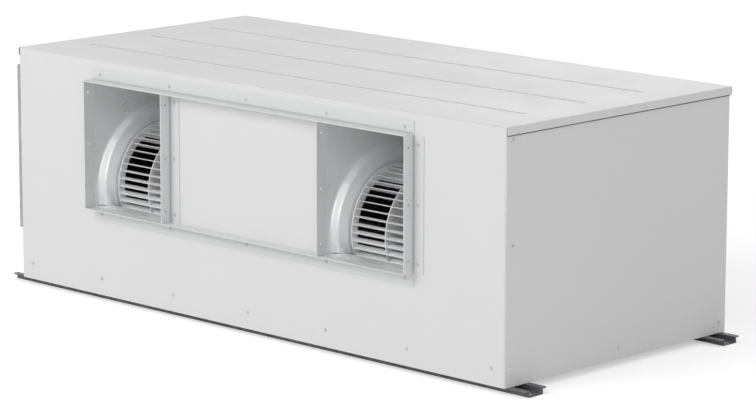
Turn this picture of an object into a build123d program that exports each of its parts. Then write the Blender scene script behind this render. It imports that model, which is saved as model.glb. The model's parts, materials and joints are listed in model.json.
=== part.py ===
from build123d import *

import os
from math import sqrt

os.makedirs("parts", exist_ok=True)

# Frame: millimetres, +Z up, X along the unit's width, front (air outlet) towards -Y.
# The origin is on the floor at the middle of the unit's footprint.

# Casing
casing_width = 1396.0
casing_depth = 662.0
casing_height = 500.0
sheet = 1.2
panel_flange = 30.0
base_flange = 50.0
edge_bend = 2.4
flange_notch = 1.0

# Roof
lip_gap = 2.0
lip_height = 16.0
lip_tape_drop = 2.0
bead_length = 1250.0
bead_width = 10.0
bead_depth = 3.5
bead_taper = 15.0
bead_round = 2.0
bead_pitch = 174.5
bead_count = 3
bead_row_shift = -19.0

# Mounting rails
rail_height = 13.0
rail_sheet = 2.0
rail_overhang = 45.0
rail_inset = 8.0
rail_lip = 14.0
rail_channel = 35.0
rail_corner = 5.0
hang_slot_width = 11.0
hang_slot_length = 26.0
hang_slot_edge = 10.0

# Duct flanges, made of angle bar
angle_sheet = 2.0
angle_reach = 28.0
angle_leg = 26.0
duct_hole = 5.0
duct_hole_pitch = 110.5
duct_hole_setback = 12.0
upright_screw_pitch = 116.5

# Fans
fan_axis_from_front = 168.0
fan_axis_height = 227.0
fan_centre = 343.0
wheel_radius = 124.5
wheel_width = 184.0
blade_count = 48
blade_depth = 14.0
blade_sweep = 4.0
blade_sheet = 1.0
blade_phase = 4.8
rim_height = 2.4
rim_overlap = 1.2
wheel_disc = 1.5
hub_radius = 22.0
hub_length = 44.0

# Scrolls: four-centre volutes around the fan axis
scroll_width = 234.0
scroll_start = 149.0
scroll_growth = 32.0
outlet_height = 268.0
cutoff_round = 7.0
seam = 4.0
bell_foot = 160.0
bell_shoulder = 150.0
bell_crown = 130.0
bell_throat = 113.0
bell_gap = 3.0
bell_round = 7.5
bell_shoulder_share = 0.55
bell_crown_share = 0.85

# Fan shaft and motor
shaft_radius = 10.0
shaft_past_hub = 10.0
running_gap = 0.03
seat_gap = 0.05
motor_radius = 75.0
motor_length = 140.0
motor_wall = 3.0
bell_depth = 26.0
bell_boss = 28.0
end_bell_inside = 10.4
end_bell_shoulder = 13.0
end_bell_neck = 18.2
bearing_radius = 20.0
bearing_width = 12.0
rotor_radius = 38.0
rotor_length = 96.0
air_gap = 0.5
stand_sheet = 3.0
stand_pitch = 92.0
stand_margin = 18.0
band_sheet = 2.0
band_width = 14.0
set_screw_radius = 3.0

# Cooling coil
tube_pitch = 25.4
row_pitch = 22.0
tubes_per_row = 16
tube_rows = 4
tube_radius = 4.8
coil_right_room = 52.0
coil_left_room = 136.0
coil_behind_scroll = 112.0
coil_above_pan = 6.0
plate_margin = 4.0
suction_radius = 11.1
suction_header_radius = 14.3
liquid_radius = 6.35
liquid_header_radius = 8.0
tube_wall = 1.0
feeder_count = 8
liquid_feeder_radius = 3.2
header_offset = 52.0
suction_pipe_height = 142.0
liquid_pipe_height = 214.0
pipe_reach = 41.0
socket_depth = 26.0
socket_gap = 0.06
grommet_wall = 4.5
grommet_brim = 2.0
grommet_brim_wall = 3.0

# Drain pan
pan_height = 36.0
pan_wall = 2.0
pan_margin = 18.0
pan_left_room = 92.0
pan_right_room = 30.0
spigot_radius = 12.5
spigot_wall = 2.0
spigot_reach = 40.0
spigot_collar = 3.0

# Return opening and filters
return_width = 1200.0
return_head = 50.0
return_sill = 70.0
return_hole_pitch = 130.0
filter_thickness = 12.0
filter_gap = 0.6
filter_overlap = 12.0
filter_from_rear = 47.0
filter_border = 14.0
filter_join = 2.0
filter_right_room = 56.0
mesh_thickness = 2.0
track_sheet = 1.2
track_lip = 10.0
pull_plate = 1.5
pull_reach = 18.0
pull_length = 120.0
slot_overlap = 8.0

# Control box on the left side
box_depth = 41.0
box_width = 200.0
box_head = 45.0
box_from_front = 27.5
box_sill = 100.0
box_rim = 14.0
cover_gap = 0.5
cover_lip = 11.0
knuckle_radius = 4.0
knuckle_length = 30.0
knuckle_gap = 0.4
hinge_pin_radius = 2.0
hinge_pin_gap = 0.05
cover_screw_inset = 45.0
wire_hole = 11.0
wire_hole_height = 89.0
gland_radius = 8.0
gland_bore = 4.5
gland_body = 12.0
gland_nut = 7.0
gland_nut_radius = 9.0
gland_thread = 3.6
gland_thread_radius = 6.8
gland_pitch = 32.0

# Electrical parts in the control box
board_height = 150.0
board_width = 96.0
board_sheet = 1.6
board_lift = 8.0
board_inset = 8.0
standoff_radius = 3.0
relay = 15.0
relay_count = 4
relay_pitch = 24.0
supply_depth = 20.0
supply_width = 24.0
supply_height = 34.0
terminal_count = 6
terminal_pitch = 14.0
terminal_depth = 24.0
terminal_height = 34.0
terminal_rib = 2.0
terminal_lift = 60.0
terminal_screw_top = 17.0
terminal_screw_radius = 3.5
capacitor_radius = 16.0
capacitor_height = 78.0
capacitor_round = 2.0
tab_sheet = 2.0
tab_width = 4.0
tab_length = 8.0

# Insulation
foam = 15.0
side_foam = 10.0

# Sheet-metal screws with hexagonal washer heads
screw_radius = 1.6
screw_hole = 1.8
screw_length = 8.0
washer_radius = 3.4
washer_height = 0.7
hex_radius = 2.7
hex_height = 1.9
screw_row_front = 35.0
front_screw_pitch = 221.5
front_screws = 7
side_screw_edge = 20.0
base_screw_height = 23.0
side_screw_height = 272.5
side_screw_drop = 10.0
leg_screw_inset = 12.0

# Places worked out from the sizes above
half_width = casing_width / 2
half_depth = casing_depth / 2
base_z = rail_height
top_z = base_z + casing_height
front_y = -half_depth
rear_y = half_depth
inner_x = half_width - sheet
floor_z = base_z + sheet
roof_under = top_z - sheet
axis_y = front_y + fan_axis_from_front
axis_z = base_z + fan_axis_height
outlet_top = axis_z + scroll_start + 2.5 * scroll_growth
outlet_floor = outlet_top - outlet_height
outlet_middle = (outlet_top + outlet_floor) / 2
outlet_inner = fan_centre - scroll_width / 2
outlet_outer = fan_centre + scroll_width / 2
frame_outer = outlet_outer + angle_sheet
frame_top = outlet_top + angle_sheet
frame_bottom = outlet_floor - angle_sheet
duct_front = front_y - angle_reach
return_bottom = base_z + return_sill
return_top = top_z - return_head
return_half = return_width / 2
filter_rear = rear_y - filter_from_rear
filter_front = filter_rear - filter_thickness
filter_bottom = return_bottom - filter_overlap
filter_top = return_top + filter_overlap
filter_height = filter_top - filter_bottom
coil_front = axis_y + scroll_start + 1.5 * scroll_growth + coil_behind_scroll
coil_depth = tube_rows * row_pitch
coil_rear = coil_front + coil_depth
pan_floor = floor_z + pan_wall
coil_bottom = pan_floor + coil_above_pan
coil_height = tubes_per_row * tube_pitch
coil_top = coil_bottom + coil_height
coil_left = -inner_x + coil_left_room
coil_right = inner_x - coil_right_room
header_x = coil_left - header_offset
suction_y = coil_front + row_pitch
liquid_y = coil_rear - row_pitch / 2
pan_left = coil_left - pan_left_room
pan_right = coil_right + pan_right_room
spigot_z = floor_z + pan_wall + spigot_radius
spigot_y = (coil_front + coil_rear) / 2
suction_z = base_z + suction_pipe_height
liquid_z = base_z + liquid_pipe_height
box_outer_x = -half_width - box_depth
box_front = front_y + box_from_front
box_rear = box_front + box_width
box_bottom = base_z + box_sill
box_top = top_z - box_head
tray_front = box_front + sheet + cover_gap
tray_bottom = box_bottom + sheet + cover_gap
tray_top = box_top - sheet - cover_gap
tray_rim_x = box_outer_x + sheet + cover_gap
pin_x = box_outer_x + knuckle_radius
pin_y = box_rear + knuckle_radius
wire_spot_z = box_bottom + wire_hole_height


def block(low, high, mode=Mode.ADD):
    """A box between two opposite corners."""
    with Locations(tuple((a + b) / 2 for a, b in zip(low, high))):
        Box(high[0] - low[0], high[1] - low[1], high[2] - low[2], mode=mode)


def rod(start, end, radius, mode=Mode.ADD):
    """A round bar along one axis of the frame, from one end to the other."""
    line = Vector(*end) - Vector(*start)
    with Locations(Plane(origin=start, z_dir=line).location):
        Cylinder(radius, line.length, align=(Align.CENTER, Align.CENTER, Align.MIN), mode=mode)


def drill(spots, radius, depth):
    """Round holes centred on each spot."""
    with Locations(*spots):
        Cylinder(radius, depth, mode=Mode.SUBTRACT)


def finish(piece, label):
    """Name a finished piece and write it to its own file."""
    piece.part.label = label
    export_step(piece.part, f"parts/{label}.step")


def faces_front(x, y, z):
    return Location((x, y, z), (90, 0, 0))


def faces_rear(x, y, z):
    return Location((x, y, z), (-90, 0, 0))


def faces_right(x, y, z):
    return Location((x, y, z), (0, 90, 0))


def faces_left(x, y, z):
    return Location((x, y, z), (0, -90, 0))


def spread(count, pitch):
    """Evenly spaced places about zero."""
    return [(i - (count - 1) / 2) * pitch for i in range(count)]


# Screw places, each a face and the direction that the head looks
front_spots = [
    faces_front(x, front_y, base_z + screw_row_front)
    for x in spread(front_screws, front_screw_pitch)
]
rear_spots = [
    faces_rear(x, rear_y, base_z + base_flange / 4) for x in spread(front_screws, front_screw_pitch)
]


def side_spots(face, x):
    """The five screws of one side panel."""
    middle_z = base_z + side_screw_height
    upper_z = top_z - lip_height - side_screw_drop
    return [
        face(x, front_y + side_screw_edge, upper_z),
        face(x, front_y + side_screw_edge, middle_z),
        face(x, front_y + side_screw_edge, base_z + base_screw_height),
        face(x, 0, base_z + base_screw_height),
        face(x, rear_y - side_screw_edge, base_z + base_screw_height),
    ]


right_spots = side_spots(faces_right, half_width)
left_spots = side_spots(faces_left, -half_width)

flat_leg_y = front_y - angle_sheet
leg_end_x = frame_outer - 2 * leg_screw_inset
long_leg_x = [-leg_end_x, -outlet_inner, 0, outlet_inner, leg_end_x]
top_leg_spots = [faces_front(x, flat_leg_y, frame_top + leg_screw_inset) for x in long_leg_x]
bottom_leg_spots = [faces_front(x, flat_leg_y, frame_bottom - leg_screw_inset) for x in long_leg_x]
outer_leg_z = [outlet_middle + z for z in spread(3, upright_screw_pitch)]
outer_leg_x = frame_outer + leg_screw_inset
inner_leg_x = outlet_inner - angle_sheet - leg_screw_inset
upright_spots = [
    faces_front(x, flat_leg_y, z)
    for x in (-outer_leg_x, -inner_leg_x, inner_leg_x, outer_leg_x)
    for z in outer_leg_z
]
return_leg_y = rear_y + angle_sheet
return_leg_x = return_half + angle_sheet + leg_screw_inset
return_leg_z = return_top + angle_sheet + leg_screw_inset
return_sill_z = return_bottom - angle_sheet - leg_screw_inset
return_spots = [
    faces_rear(x, return_leg_y, z)
    for x in spread(5, return_width / 4)
    for z in (return_sill_z, return_leg_z)
] + [
    faces_rear(x, return_leg_y, (return_bottom + return_top) / 2 + z)
    for x in (-return_leg_x, return_leg_x)
    for z in spread(3, return_hole_pitch)
]


# Base tray with upturned flanges, its corners bent inside the panels
with BuildPart() as base_panel:
    block((-inner_x, front_y + sheet, base_z), (inner_x, rear_y - sheet, base_z + base_flange))
    block(
        (-inner_x + sheet, front_y + 2 * sheet, floor_z),
        (inner_x - sheet, rear_y - 2 * sheet, base_z + base_flange),
        mode=Mode.SUBTRACT,
    )
    drill(front_spots + rear_spots, screw_hole, 2 * screw_length)
    drill(right_spots[2:] + left_spots[2:], screw_hole, 2 * screw_length)
    rod(
        (-inner_x - sheet, spigot_y, spigot_z),
        (-inner_x + 2 * sheet, spigot_y, spigot_z),
        spigot_radius + seat_gap,
        mode=Mode.SUBTRACT,
    )
finish(base_panel, "base_panel")


def end_panel(face_y, inward):
    """A front or rear panel: one sheet with flanges turned in at its sides and top."""
    with BuildPart() as panel:
        back_y = face_y + inward * panel_flange
        notch_z = base_z + base_flange + flange_notch
        block(
            (-inner_x, min(face_y, back_y), base_z),
            (inner_x, max(face_y, back_y), roof_under),
        )
        outside = 0 if inward > 0 else -1
        side_bends = panel.edges().filter_by(Axis.Z).group_by(Axis.Y)[outside]
        top_bend = panel.edges().filter_by(Axis.X).group_by(Axis.Z)[-1].sort_by(Axis.Y)[outside]
        fillet(side_bends + [top_bend], edge_bend)
        inside_y = face_y + inward * sheet
        block(
            (-inner_x + sheet, min(inside_y, back_y), base_z),
            (inner_x - sheet, max(inside_y, back_y), roof_under - sheet),
            mode=Mode.SUBTRACT,
        )
        block(
            (-inner_x, min(inside_y, back_y), base_z),
            (inner_x, max(inside_y, back_y), notch_z),
            mode=Mode.SUBTRACT,
        )
    return panel


# Front panel with the two outlets
front_shell = end_panel(front_y, 1)
with BuildPart() as front_panel:
    add(front_shell.part)
    for side in (-1, 1):
        block(
            (side * fan_centre - scroll_width / 2, front_y - sheet, outlet_floor),
            (side * fan_centre + scroll_width / 2, front_y + 2 * sheet, outlet_top),
            mode=Mode.SUBTRACT,
        )
    drill(front_spots + top_leg_spots + bottom_leg_spots + upright_spots, screw_hole, 2 * screw_length)
    drill(left_spots[:2] + right_spots[:2], screw_hole, 2 * screw_length)
finish(front_panel, "front_panel")

# Rear panel with the return opening
rear_shell = end_panel(rear_y, -1)
with BuildPart() as rear_panel:
    add(rear_shell.part)
    block(
        (-return_half, rear_y - 2 * sheet, return_bottom),
        (return_half, rear_y + sheet, return_top),
        mode=Mode.SUBTRACT,
    )
    drill(rear_spots + return_spots, screw_hole, 2 * screw_length)
finish(rear_panel, "rear_panel")

# Places on the left side where pipes, wires, the drain and the filters pass
pipe_spots = [
    faces_left(-half_width, suction_y, suction_z),
    faces_left(-half_width, liquid_y, liquid_z),
]
pipe_holes = [radius + grommet_wall + seat_gap for radius in (suction_radius, liquid_radius)]
wire_y = (box_front + box_rear) / 2
wire_spot = faces_left(-half_width, wire_y, wire_spot_z)
slot_front = filter_front - filter_gap
slot_rear = filter_rear + filter_gap


def side_panel(x, spots, openings):
    """One side panel, a flat sheet between the base and the roof."""
    with BuildPart() as panel:
        inside = x - sheet if x > 0 else x + sheet
        block(
            (min(x, inside), front_y + flange_notch, base_z),
            (max(x, inside), rear_y - flange_notch, roof_under),
        )
        drill(spots, screw_hole, 2 * screw_length)
        if openings:
            for spot, radius in zip(pipe_spots, pipe_holes):
                drill([spot], radius, 4 * sheet)
            drill([wire_spot], wire_hole, 4 * sheet)
            drill([faces_left(x, spigot_y, spigot_z)], spigot_radius + seat_gap, 4 * sheet)
            block(
                (x - sheet, slot_front, filter_bottom - filter_gap),
                (x + 2 * sheet, slot_rear, filter_top + filter_gap),
                mode=Mode.SUBTRACT,
            )
    return panel


right_side_panel = side_panel(half_width, right_spots, False)
finish(right_side_panel, "right_side_panel")
left_side_panel = side_panel(-half_width, left_spots, True)
finish(left_side_panel, "left_side_panel")

# Roof: a lid whose lips stand a little off the side panels, with three pressed beads
roof_half = half_width + lip_gap + sheet
roof_rear = rear_y + lip_gap + sheet
with BuildPart() as roof_panel:
    block((-roof_half, front_y, top_z - lip_height), (roof_half, roof_rear, top_z))
    fillet(roof_panel.edges().filter_by(Axis.Y).group_by(Axis.Z)[-1], edge_bend)
    block(
        (-roof_half + sheet, front_y, top_z - lip_height),
        (roof_half - sheet, roof_rear - sheet, roof_under),
        mode=Mode.SUBTRACT,
    )
    with BuildSketch(Plane.XY.offset(roof_under)):
        with Locations((0, bead_row_shift)):
            with GridLocations(0, bead_pitch, 1, bead_count):
                SlotOverall(bead_length + 2 * sheet, bead_width + 2 * sheet)
    extrude(amount=-bead_depth)
    with BuildSketch(Plane.XY.offset(top_z)):
        with Locations((0, bead_row_shift)):
            with GridLocations(0, bead_pitch, 1, bead_count):
                SlotOverall(bead_length, bead_width)
    extrude(amount=-bead_depth, taper=bead_taper, mode=Mode.SUBTRACT)
    bead_rims = [edge for rim in roof_panel.faces().sort_by(Axis.Z)[-1].inner_wires() for edge in rim.edges()]
    fillet(bead_rims, bead_round)
finish(roof_panel, "roof_panel")

# Mounting rails: hat sections, open upwards, with slots for the hanging rods
rail_half = half_width + rail_overhang
hang_slot_x = rail_half - hang_slot_edge - hang_slot_length / 2
rail_width = rail_channel + 2 * rail_sheet + 2 * (rail_lip - rail_sheet)
rail_offset = half_depth - rail_inset - rail_width / 2


def mounting_rail(centre_y):
    """One rail across the whole width."""
    with BuildPart() as rail:
        outer_channel = rail_channel + 2 * rail_sheet
        block(
            (-rail_half, centre_y - outer_channel / 2, 0),
            (rail_half, centre_y + outer_channel / 2, rail_height),
        )
        block(
            (-rail_half, centre_y - rail_width / 2, rail_height - rail_sheet),
            (rail_half, centre_y + rail_width / 2, rail_height),
        )
        block(
            (-rail_half, centre_y - rail_channel / 2, rail_sheet),
            (rail_half, centre_y + rail_channel / 2, rail_height),
            mode=Mode.SUBTRACT,
        )
        corners = rail.edges().filter_by(Axis.Z).filter_by(lambda e: e.length < 2 * rail_sheet)
        fillet(corners, rail_corner)
        with BuildSketch(Plane.XY):
            with Locations((-hang_slot_x, centre_y), (hang_slot_x, centre_y)):
                SlotOverall(hang_slot_length, hang_slot_width)
        extrude(amount=rail_sheet, mode=Mode.SUBTRACT)
    return rail


front_rail = mounting_rail(-rail_offset)
finish(front_rail, "front_rail")
rear_rail = mounting_rail(rail_offset)
finish(rear_rail, "rear_rail")


def long_angle(leg_z, up, spots):
    """A horizontal angle bar of the discharge flange: one leg on the panel, one forward."""
    with BuildPart() as bar:
        with BuildSketch(Plane.YZ.offset(-frame_outer)):
            with BuildLine():
                Polyline(
                    (front_y, leg_z),
                    (duct_front, leg_z),
                    (duct_front, leg_z + up * angle_sheet),
                    (front_y - angle_sheet, leg_z + up * angle_sheet),
                    (front_y - angle_sheet, leg_z + up * (angle_sheet + angle_leg)),
                    (front_y, leg_z + up * (angle_sheet + angle_leg)),
                    close=True,
                )
            make_face()
        extrude(amount=2 * frame_outer)
        drill(spots, screw_hole, 3 * angle_sheet)
    return bar


discharge_flange_top = long_angle(outlet_top, 1, top_leg_spots)
finish(discharge_flange_top, "discharge_flange_top")
discharge_flange_bottom = long_angle(outlet_floor, -1, bottom_leg_spots)
finish(discharge_flange_bottom, "discharge_flange_bottom")

duct_hole_y = duct_front + duct_hole_setback
duct_hole_z = [outlet_middle + z for z in spread(3, duct_hole_pitch)]


def upright_angle(leg_x, outward, label):
    """A vertical angle bar beside an outlet, between the two long ones."""
    with BuildPart() as bar:
        with BuildSketch(Plane.XY.offset(outlet_floor)):
            with BuildLine():
                Polyline(
                    (leg_x, front_y),
                    (leg_x, duct_front),
                    (leg_x + outward * angle_sheet, duct_front),
                    (leg_x + outward * angle_sheet, front_y - angle_sheet),
                    (leg_x + outward * (angle_sheet + angle_leg), front_y - angle_sheet),
                    (leg_x + outward * (angle_sheet + angle_leg), front_y),
                    close=True,
                )
            make_face()
        extrude(amount=outlet_height)
        drill(upright_spots, screw_hole, 3 * angle_sheet)
        drill([faces_right(leg_x, duct_hole_y, z) for z in duct_hole_z], duct_hole / 2, 3 * angle_sheet)
    finish(bar, label)


upright_angle(-outlet_outer, -1, "discharge_upright_left_outer")
upright_angle(-outlet_inner, 1, "discharge_upright_left_inner")
upright_angle(outlet_inner, -1, "discharge_upright_right_inner")
upright_angle(outlet_outer, 1, "discharge_upright_right_outer")

# Return flange: one welded frame of the same angle bar
return_middle = (return_bottom + return_top) / 2
return_hole_z = [return_middle + z for z in spread(3, return_hole_pitch)]
return_duct_y = rear_y + angle_reach
with BuildPart() as return_flange:
    frame_leg = angle_sheet + angle_leg
    block(
        (-return_half - frame_leg, rear_y, return_bottom - frame_leg),
        (return_half + frame_leg, rear_y + angle_sheet, return_top + frame_leg),
    )
    block(
        (-return_half - angle_sheet, rear_y, return_bottom - angle_sheet),
        (return_half + angle_sheet, return_duct_y, return_top + angle_sheet),
    )
    block(
        (-return_half, rear_y - angle_sheet, return_bottom),
        (return_half, return_duct_y + angle_sheet, return_top),
        mode=Mode.SUBTRACT,
    )
    drill(return_spots, screw_hole, 3 * angle_sheet)
    for side in (-return_half, return_half):
        spots = [faces_right(side, return_duct_y - duct_hole_setback, z) for z in return_hole_z]
        drill(spots, duct_hole / 2, 3 * angle_sheet)
finish(return_flange, "return_flange")

# Scroll profile in the YZ plane: three quarter arcs of growing radius about a small square
half_square = scroll_growth / 2
arc_centres = [
    (axis_y + half_square, axis_z - half_square),
    (axis_y + half_square, axis_z + half_square),
    (axis_y - half_square, axis_z + half_square),
]
scroll_front = front_y + sheet


def cutoff_point(extra):
    """Where the first arc, made larger by extra, meets the outlet floor lowered by extra."""
    radius = scroll_start + extra
    drop = arc_centres[0][1] - (outlet_floor - extra)
    return arc_centres[0][0] - sqrt(radius**2 - drop**2), outlet_floor - extra


def scroll_arcs(extra):
    """The three arcs from the cut-off round to the top, each larger by extra."""
    start = Vector(*cutoff_point(extra)) - Vector(*arc_centres[0])
    start_angle = (Vector(1, 0).get_signed_angle(start, Vector(0, 0, 1))) % 360
    CenterArc(arc_centres[0], scroll_start + extra, start_angle, 270 - start_angle)
    CenterArc(arc_centres[1], scroll_start + scroll_growth + extra, 270, 90)
    CenterArc(arc_centres[2], scroll_start + 2 * scroll_growth + extra, 0, 90)


def scroll_outline(extra):
    """Closed outline of the scroll and its outlet, for use inside a line builder."""
    scroll_arcs(extra)
    Polyline(
        (arc_centres[2][0], outlet_top + extra),
        (scroll_front, outlet_top + extra),
        (scroll_front, outlet_floor - extra),
        cutoff_point(extra),
    )


side_clearance = (scroll_width - wheel_width) / 2
bell_rise = side_clearance - bell_gap


def bell_plane(inside_x, inward):
    """Plane through the fan axis: its x runs into the scroll, its y along the radius."""
    return Plane(origin=(inside_x, axis_y, axis_z), x_dir=(inward, 0, 0), z_dir=(0, -inward, 0))


def bell_room(inside_x, inward):
    """The space that the inlet bell takes up inside the scroll."""
    with BuildPart() as room:
        with BuildSketch(bell_plane(inside_x, inward)):
            with BuildLine():
                Polyline(
                    (0, 0),
                    (0, bell_foot + seam),
                    (bell_shoulder_share * bell_rise, bell_shoulder + seam),
                    (bell_crown_share * bell_rise + sheet, bell_crown + seam),
                    (bell_crown_share * bell_rise + sheet, 0),
                    close=True,
                )
            make_face()
        revolve(axis=Axis((inside_x, axis_y, axis_z), (1, 0, 0)))
    return room.part


def scroll_wrap(centre_x, label):
    """The curved sheet between the two side plates."""
    with BuildPart() as wrap:
        with BuildSketch(Plane.YZ.offset(centre_x - scroll_width / 2)):
            with BuildLine():
                scroll_outline(sheet)
            make_face()
            with BuildLine():
                scroll_outline(0)
            make_face(mode=Mode.SUBTRACT)
            with Locations((scroll_front, outlet_middle)):
                Rectangle(2 * sheet, outlet_height, mode=Mode.SUBTRACT)
        extrude(amount=scroll_width)
        for extra, radius in ((sheet, cutoff_round - sheet), (0, cutoff_round)):
            corner = (centre_x, *cutoff_point(extra))
            fillet(wrap.edges().filter_by(Axis.X).sort_by_distance(corner)[0], radius)
        add(bell_room(centre_x - scroll_width / 2, 1), mode=Mode.SUBTRACT)
        add(bell_room(centre_x + scroll_width / 2, -1), mode=Mode.SUBTRACT)
    finish(wrap, label)


scroll_wrap(-fan_centre, "left_scroll_wrap")
scroll_wrap(fan_centre, "right_scroll_wrap")


def scroll_side(inside_x, inward, label):
    """A side plate with its inlet bell drawn in towards the wheel."""
    with BuildPart() as plate:
        with BuildSketch(Plane.YZ.offset(inside_x if inward < 0 else inside_x - sheet)):
            with BuildLine():
                scroll_outline(sheet + seam)
            make_face()
            with Locations((axis_y, axis_z)):
                Circle(bell_foot, mode=Mode.SUBTRACT)
        extrude(amount=sheet)
        middle = -sheet / 2
        with BuildSketch(bell_plane(inside_x, inward)):
            with BuildLine():
                FilletPolyline(
                    (middle, bell_foot + seam),
                    (middle, bell_foot - sheet),
                    (bell_shoulder_share * bell_rise, bell_shoulder),
                    (bell_crown_share * bell_rise, bell_crown),
                    (bell_crown_share * bell_rise, bell_throat + bell_round),
                    (bell_rise, bell_throat),
                    radius=bell_round,
                )
            trace(line_width=sheet)
        revolve(axis=Axis((inside_x, axis_y, axis_z), (1, 0, 0)))
    finish(plate, label)


scroll_side(-fan_centre - scroll_width / 2, 1, "left_scroll_outer_side")
scroll_side(-fan_centre + scroll_width / 2, -1, "left_scroll_inner_side")
scroll_side(fan_centre - scroll_width / 2, 1, "right_scroll_inner_side")
scroll_side(fan_centre + scroll_width / 2, -1, "right_scroll_outer_side")

# Fan wheels: forward-curved blades on a centre disc, closed by a rim at each end
blade_middle = wheel_radius - blade_depth / 2
with BuildSketch() as blade_section:
    with BuildLine():
        TangentArc((-blade_depth / 2, 0), (blade_depth / 2, blade_sweep), tangent=(1, 0))
    trace(line_width=blade_sheet)


def fan_wheel(centre_x, label):
    """A double-inlet wheel on its hub."""
    with BuildPart() as wheel:
        left_end = centre_x - wheel_width / 2
        with BuildSketch(Plane.YZ.offset(left_end)):
            with Locations((axis_y, axis_z)):
                with PolarLocations(blade_middle, blade_count, start_angle=blade_phase):
                    add(blade_section.sketch)
        extrude(amount=wheel_width)
        for rim_x in (left_end, left_end + wheel_width - rim_height):
            with BuildSketch(Plane.YZ.offset(rim_x)):
                with Locations((axis_y, axis_z)):
                    Circle(wheel_radius + rim_overlap)
                    Circle(wheel_radius - blade_depth - rim_overlap, mode=Mode.SUBTRACT)
            extrude(amount=rim_height)
        with BuildSketch(Plane.YZ.offset(centre_x - wheel_disc / 2)):
            with Locations((axis_y, axis_z)):
                Circle(wheel_radius)
        extrude(amount=wheel_disc)
        with BuildSketch(Plane.YZ.offset(centre_x - hub_length / 2)):
            with Locations((axis_y, axis_z)):
                Circle(hub_radius)
        extrude(amount=hub_length)
        rod(
            (centre_x - hub_length, axis_y, axis_z),
            (centre_x + hub_length, axis_y, axis_z),
            shaft_radius + seat_gap,
            mode=Mode.SUBTRACT,
        )
        screw_x = centre_x + hub_length / 4
        rod(
            (screw_x, axis_y, axis_z),
            (screw_x, axis_y, axis_z + hub_radius + 1),
            set_screw_radius + seat_gap,
            mode=Mode.SUBTRACT,
        )
    finish(wheel, label)


fan_wheel(-fan_centre, "left_fan_wheel")
fan_wheel(fan_centre, "right_fan_wheel")

with BuildPart() as hub_set_screws:
    for centre_x in (-fan_centre, fan_centre):
        screw_x = centre_x + hub_length / 4
        rod(
            (screw_x, axis_y, axis_z + shaft_radius),
            (screw_x, axis_y, axis_z + hub_radius + 1),
            set_screw_radius,
        )
finish(hub_set_screws, "hub_set_screws")

# Motor with a shaft out of both ends
shaft_half = fan_centre + hub_length / 2 + shaft_past_hub
with BuildPart() as fan_shaft:
    rod((-shaft_half, axis_y, axis_z), (shaft_half, axis_y, axis_z), shaft_radius)
    chamfer(fan_shaft.edges().filter_by(GeomType.CIRCLE), 1)
finish(fan_shaft, "fan_shaft")

motor_half = motor_length / 2
with BuildPart() as motor_shell:
    rod((-motor_half, axis_y, axis_z), (motor_half, axis_y, axis_z), motor_radius)
    rod(
        (-motor_half, axis_y, axis_z),
        (motor_half, axis_y, axis_z),
        motor_radius - motor_wall,
        mode=Mode.SUBTRACT,
    )
finish(motor_shell, "motor_shell")

bearing_in = motor_half + bell_depth - motor_wall - bearing_width


def motor_end_bell(side, label):
    """A domed end of the motor, with the seat of its bearing."""
    with BuildPart() as bell:
        mouth = side * motor_half
        outer = side * (motor_half + bell_depth)
        with BuildSketch(Plane(origin=(0, axis_y, axis_z), x_dir=(side, 0, 0), z_dir=(0, -side, 0))):
            with BuildLine():
                Polyline(
                    (motor_half, motor_radius),
                    (motor_half, motor_radius - motor_wall),
                    (motor_half + end_bell_inside, motor_radius - 2 * motor_wall),
                    (motor_half + end_bell_shoulder, bell_boss),
                    (bearing_in, bearing_radius + seat_gap),
                    (motor_half + bell_depth - motor_wall, bearing_radius + seat_gap),
                    (motor_half + bell_depth - motor_wall, shaft_radius + motor_wall),
                    (motor_half + bell_depth, shaft_radius + motor_wall),
                    (motor_half + bell_depth, bell_boss),
                    (motor_half + end_bell_neck, bell_boss + motor_wall),
                    (motor_half + end_bell_shoulder, motor_radius - motor_wall),
                    close=True,
                )
            make_face()
        revolve(axis=Axis((0, axis_y, axis_z), (1, 0, 0)))
    finish(bell, label)


motor_end_bell(-1, "motor_end_bell_left")
motor_end_bell(1, "motor_end_bell_right")

with BuildPart() as motor_bearings:
    for side in (-1, 1):
        start = (side * bearing_in, axis_y, axis_z)
        end = (side * (bearing_in + bearing_width), axis_y, axis_z)
        rod(start, end, bearing_radius)
        rod(start, end, shaft_radius + running_gap, mode=Mode.SUBTRACT)
finish(motor_bearings, "motor_bearings")

rotor_half = rotor_length / 2
with BuildPart() as motor_rotor:
    rod((-rotor_half, axis_y, axis_z), (rotor_half, axis_y, axis_z), rotor_radius)
    rod(
        (-rotor_half, axis_y, axis_z),
        (rotor_half, axis_y, axis_z),
        shaft_radius + seat_gap,
        mode=Mode.SUBTRACT,
    )
finish(motor_rotor, "motor_rotor")

with BuildPart() as motor_stator:
    rod(
        (-rotor_half, axis_y, axis_z),
        (rotor_half, axis_y, axis_z),
        motor_radius - motor_wall - seat_gap,
    )
    rod(
        (-rotor_half, axis_y, axis_z),
        (rotor_half, axis_y, axis_z),
        rotor_radius + air_gap,
        mode=Mode.SUBTRACT,
    )
finish(motor_stator, "motor_stator")

# Motor stand: a foot plate with two uprights that cradle the motor
cradle_half = motor_radius + stand_margin
with BuildPart() as motor_stand:
    block(
        (-stand_pitch / 2 - stand_sheet, axis_y - cradle_half, floor_z),
        (stand_pitch / 2 + stand_sheet, axis_y + cradle_half, floor_z + stand_sheet),
    )
    for x in (-stand_pitch / 2 - stand_sheet, stand_pitch / 2):
        block(
            (x, axis_y - cradle_half, floor_z),
            (x + stand_sheet, axis_y + cradle_half, axis_z),
        )
    rod(
        (-stand_pitch, axis_y, axis_z),
        (stand_pitch, axis_y, axis_z),
        motor_radius + seat_gap,
        mode=Mode.SUBTRACT,
    )
finish(motor_stand, "motor_stand")

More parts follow.
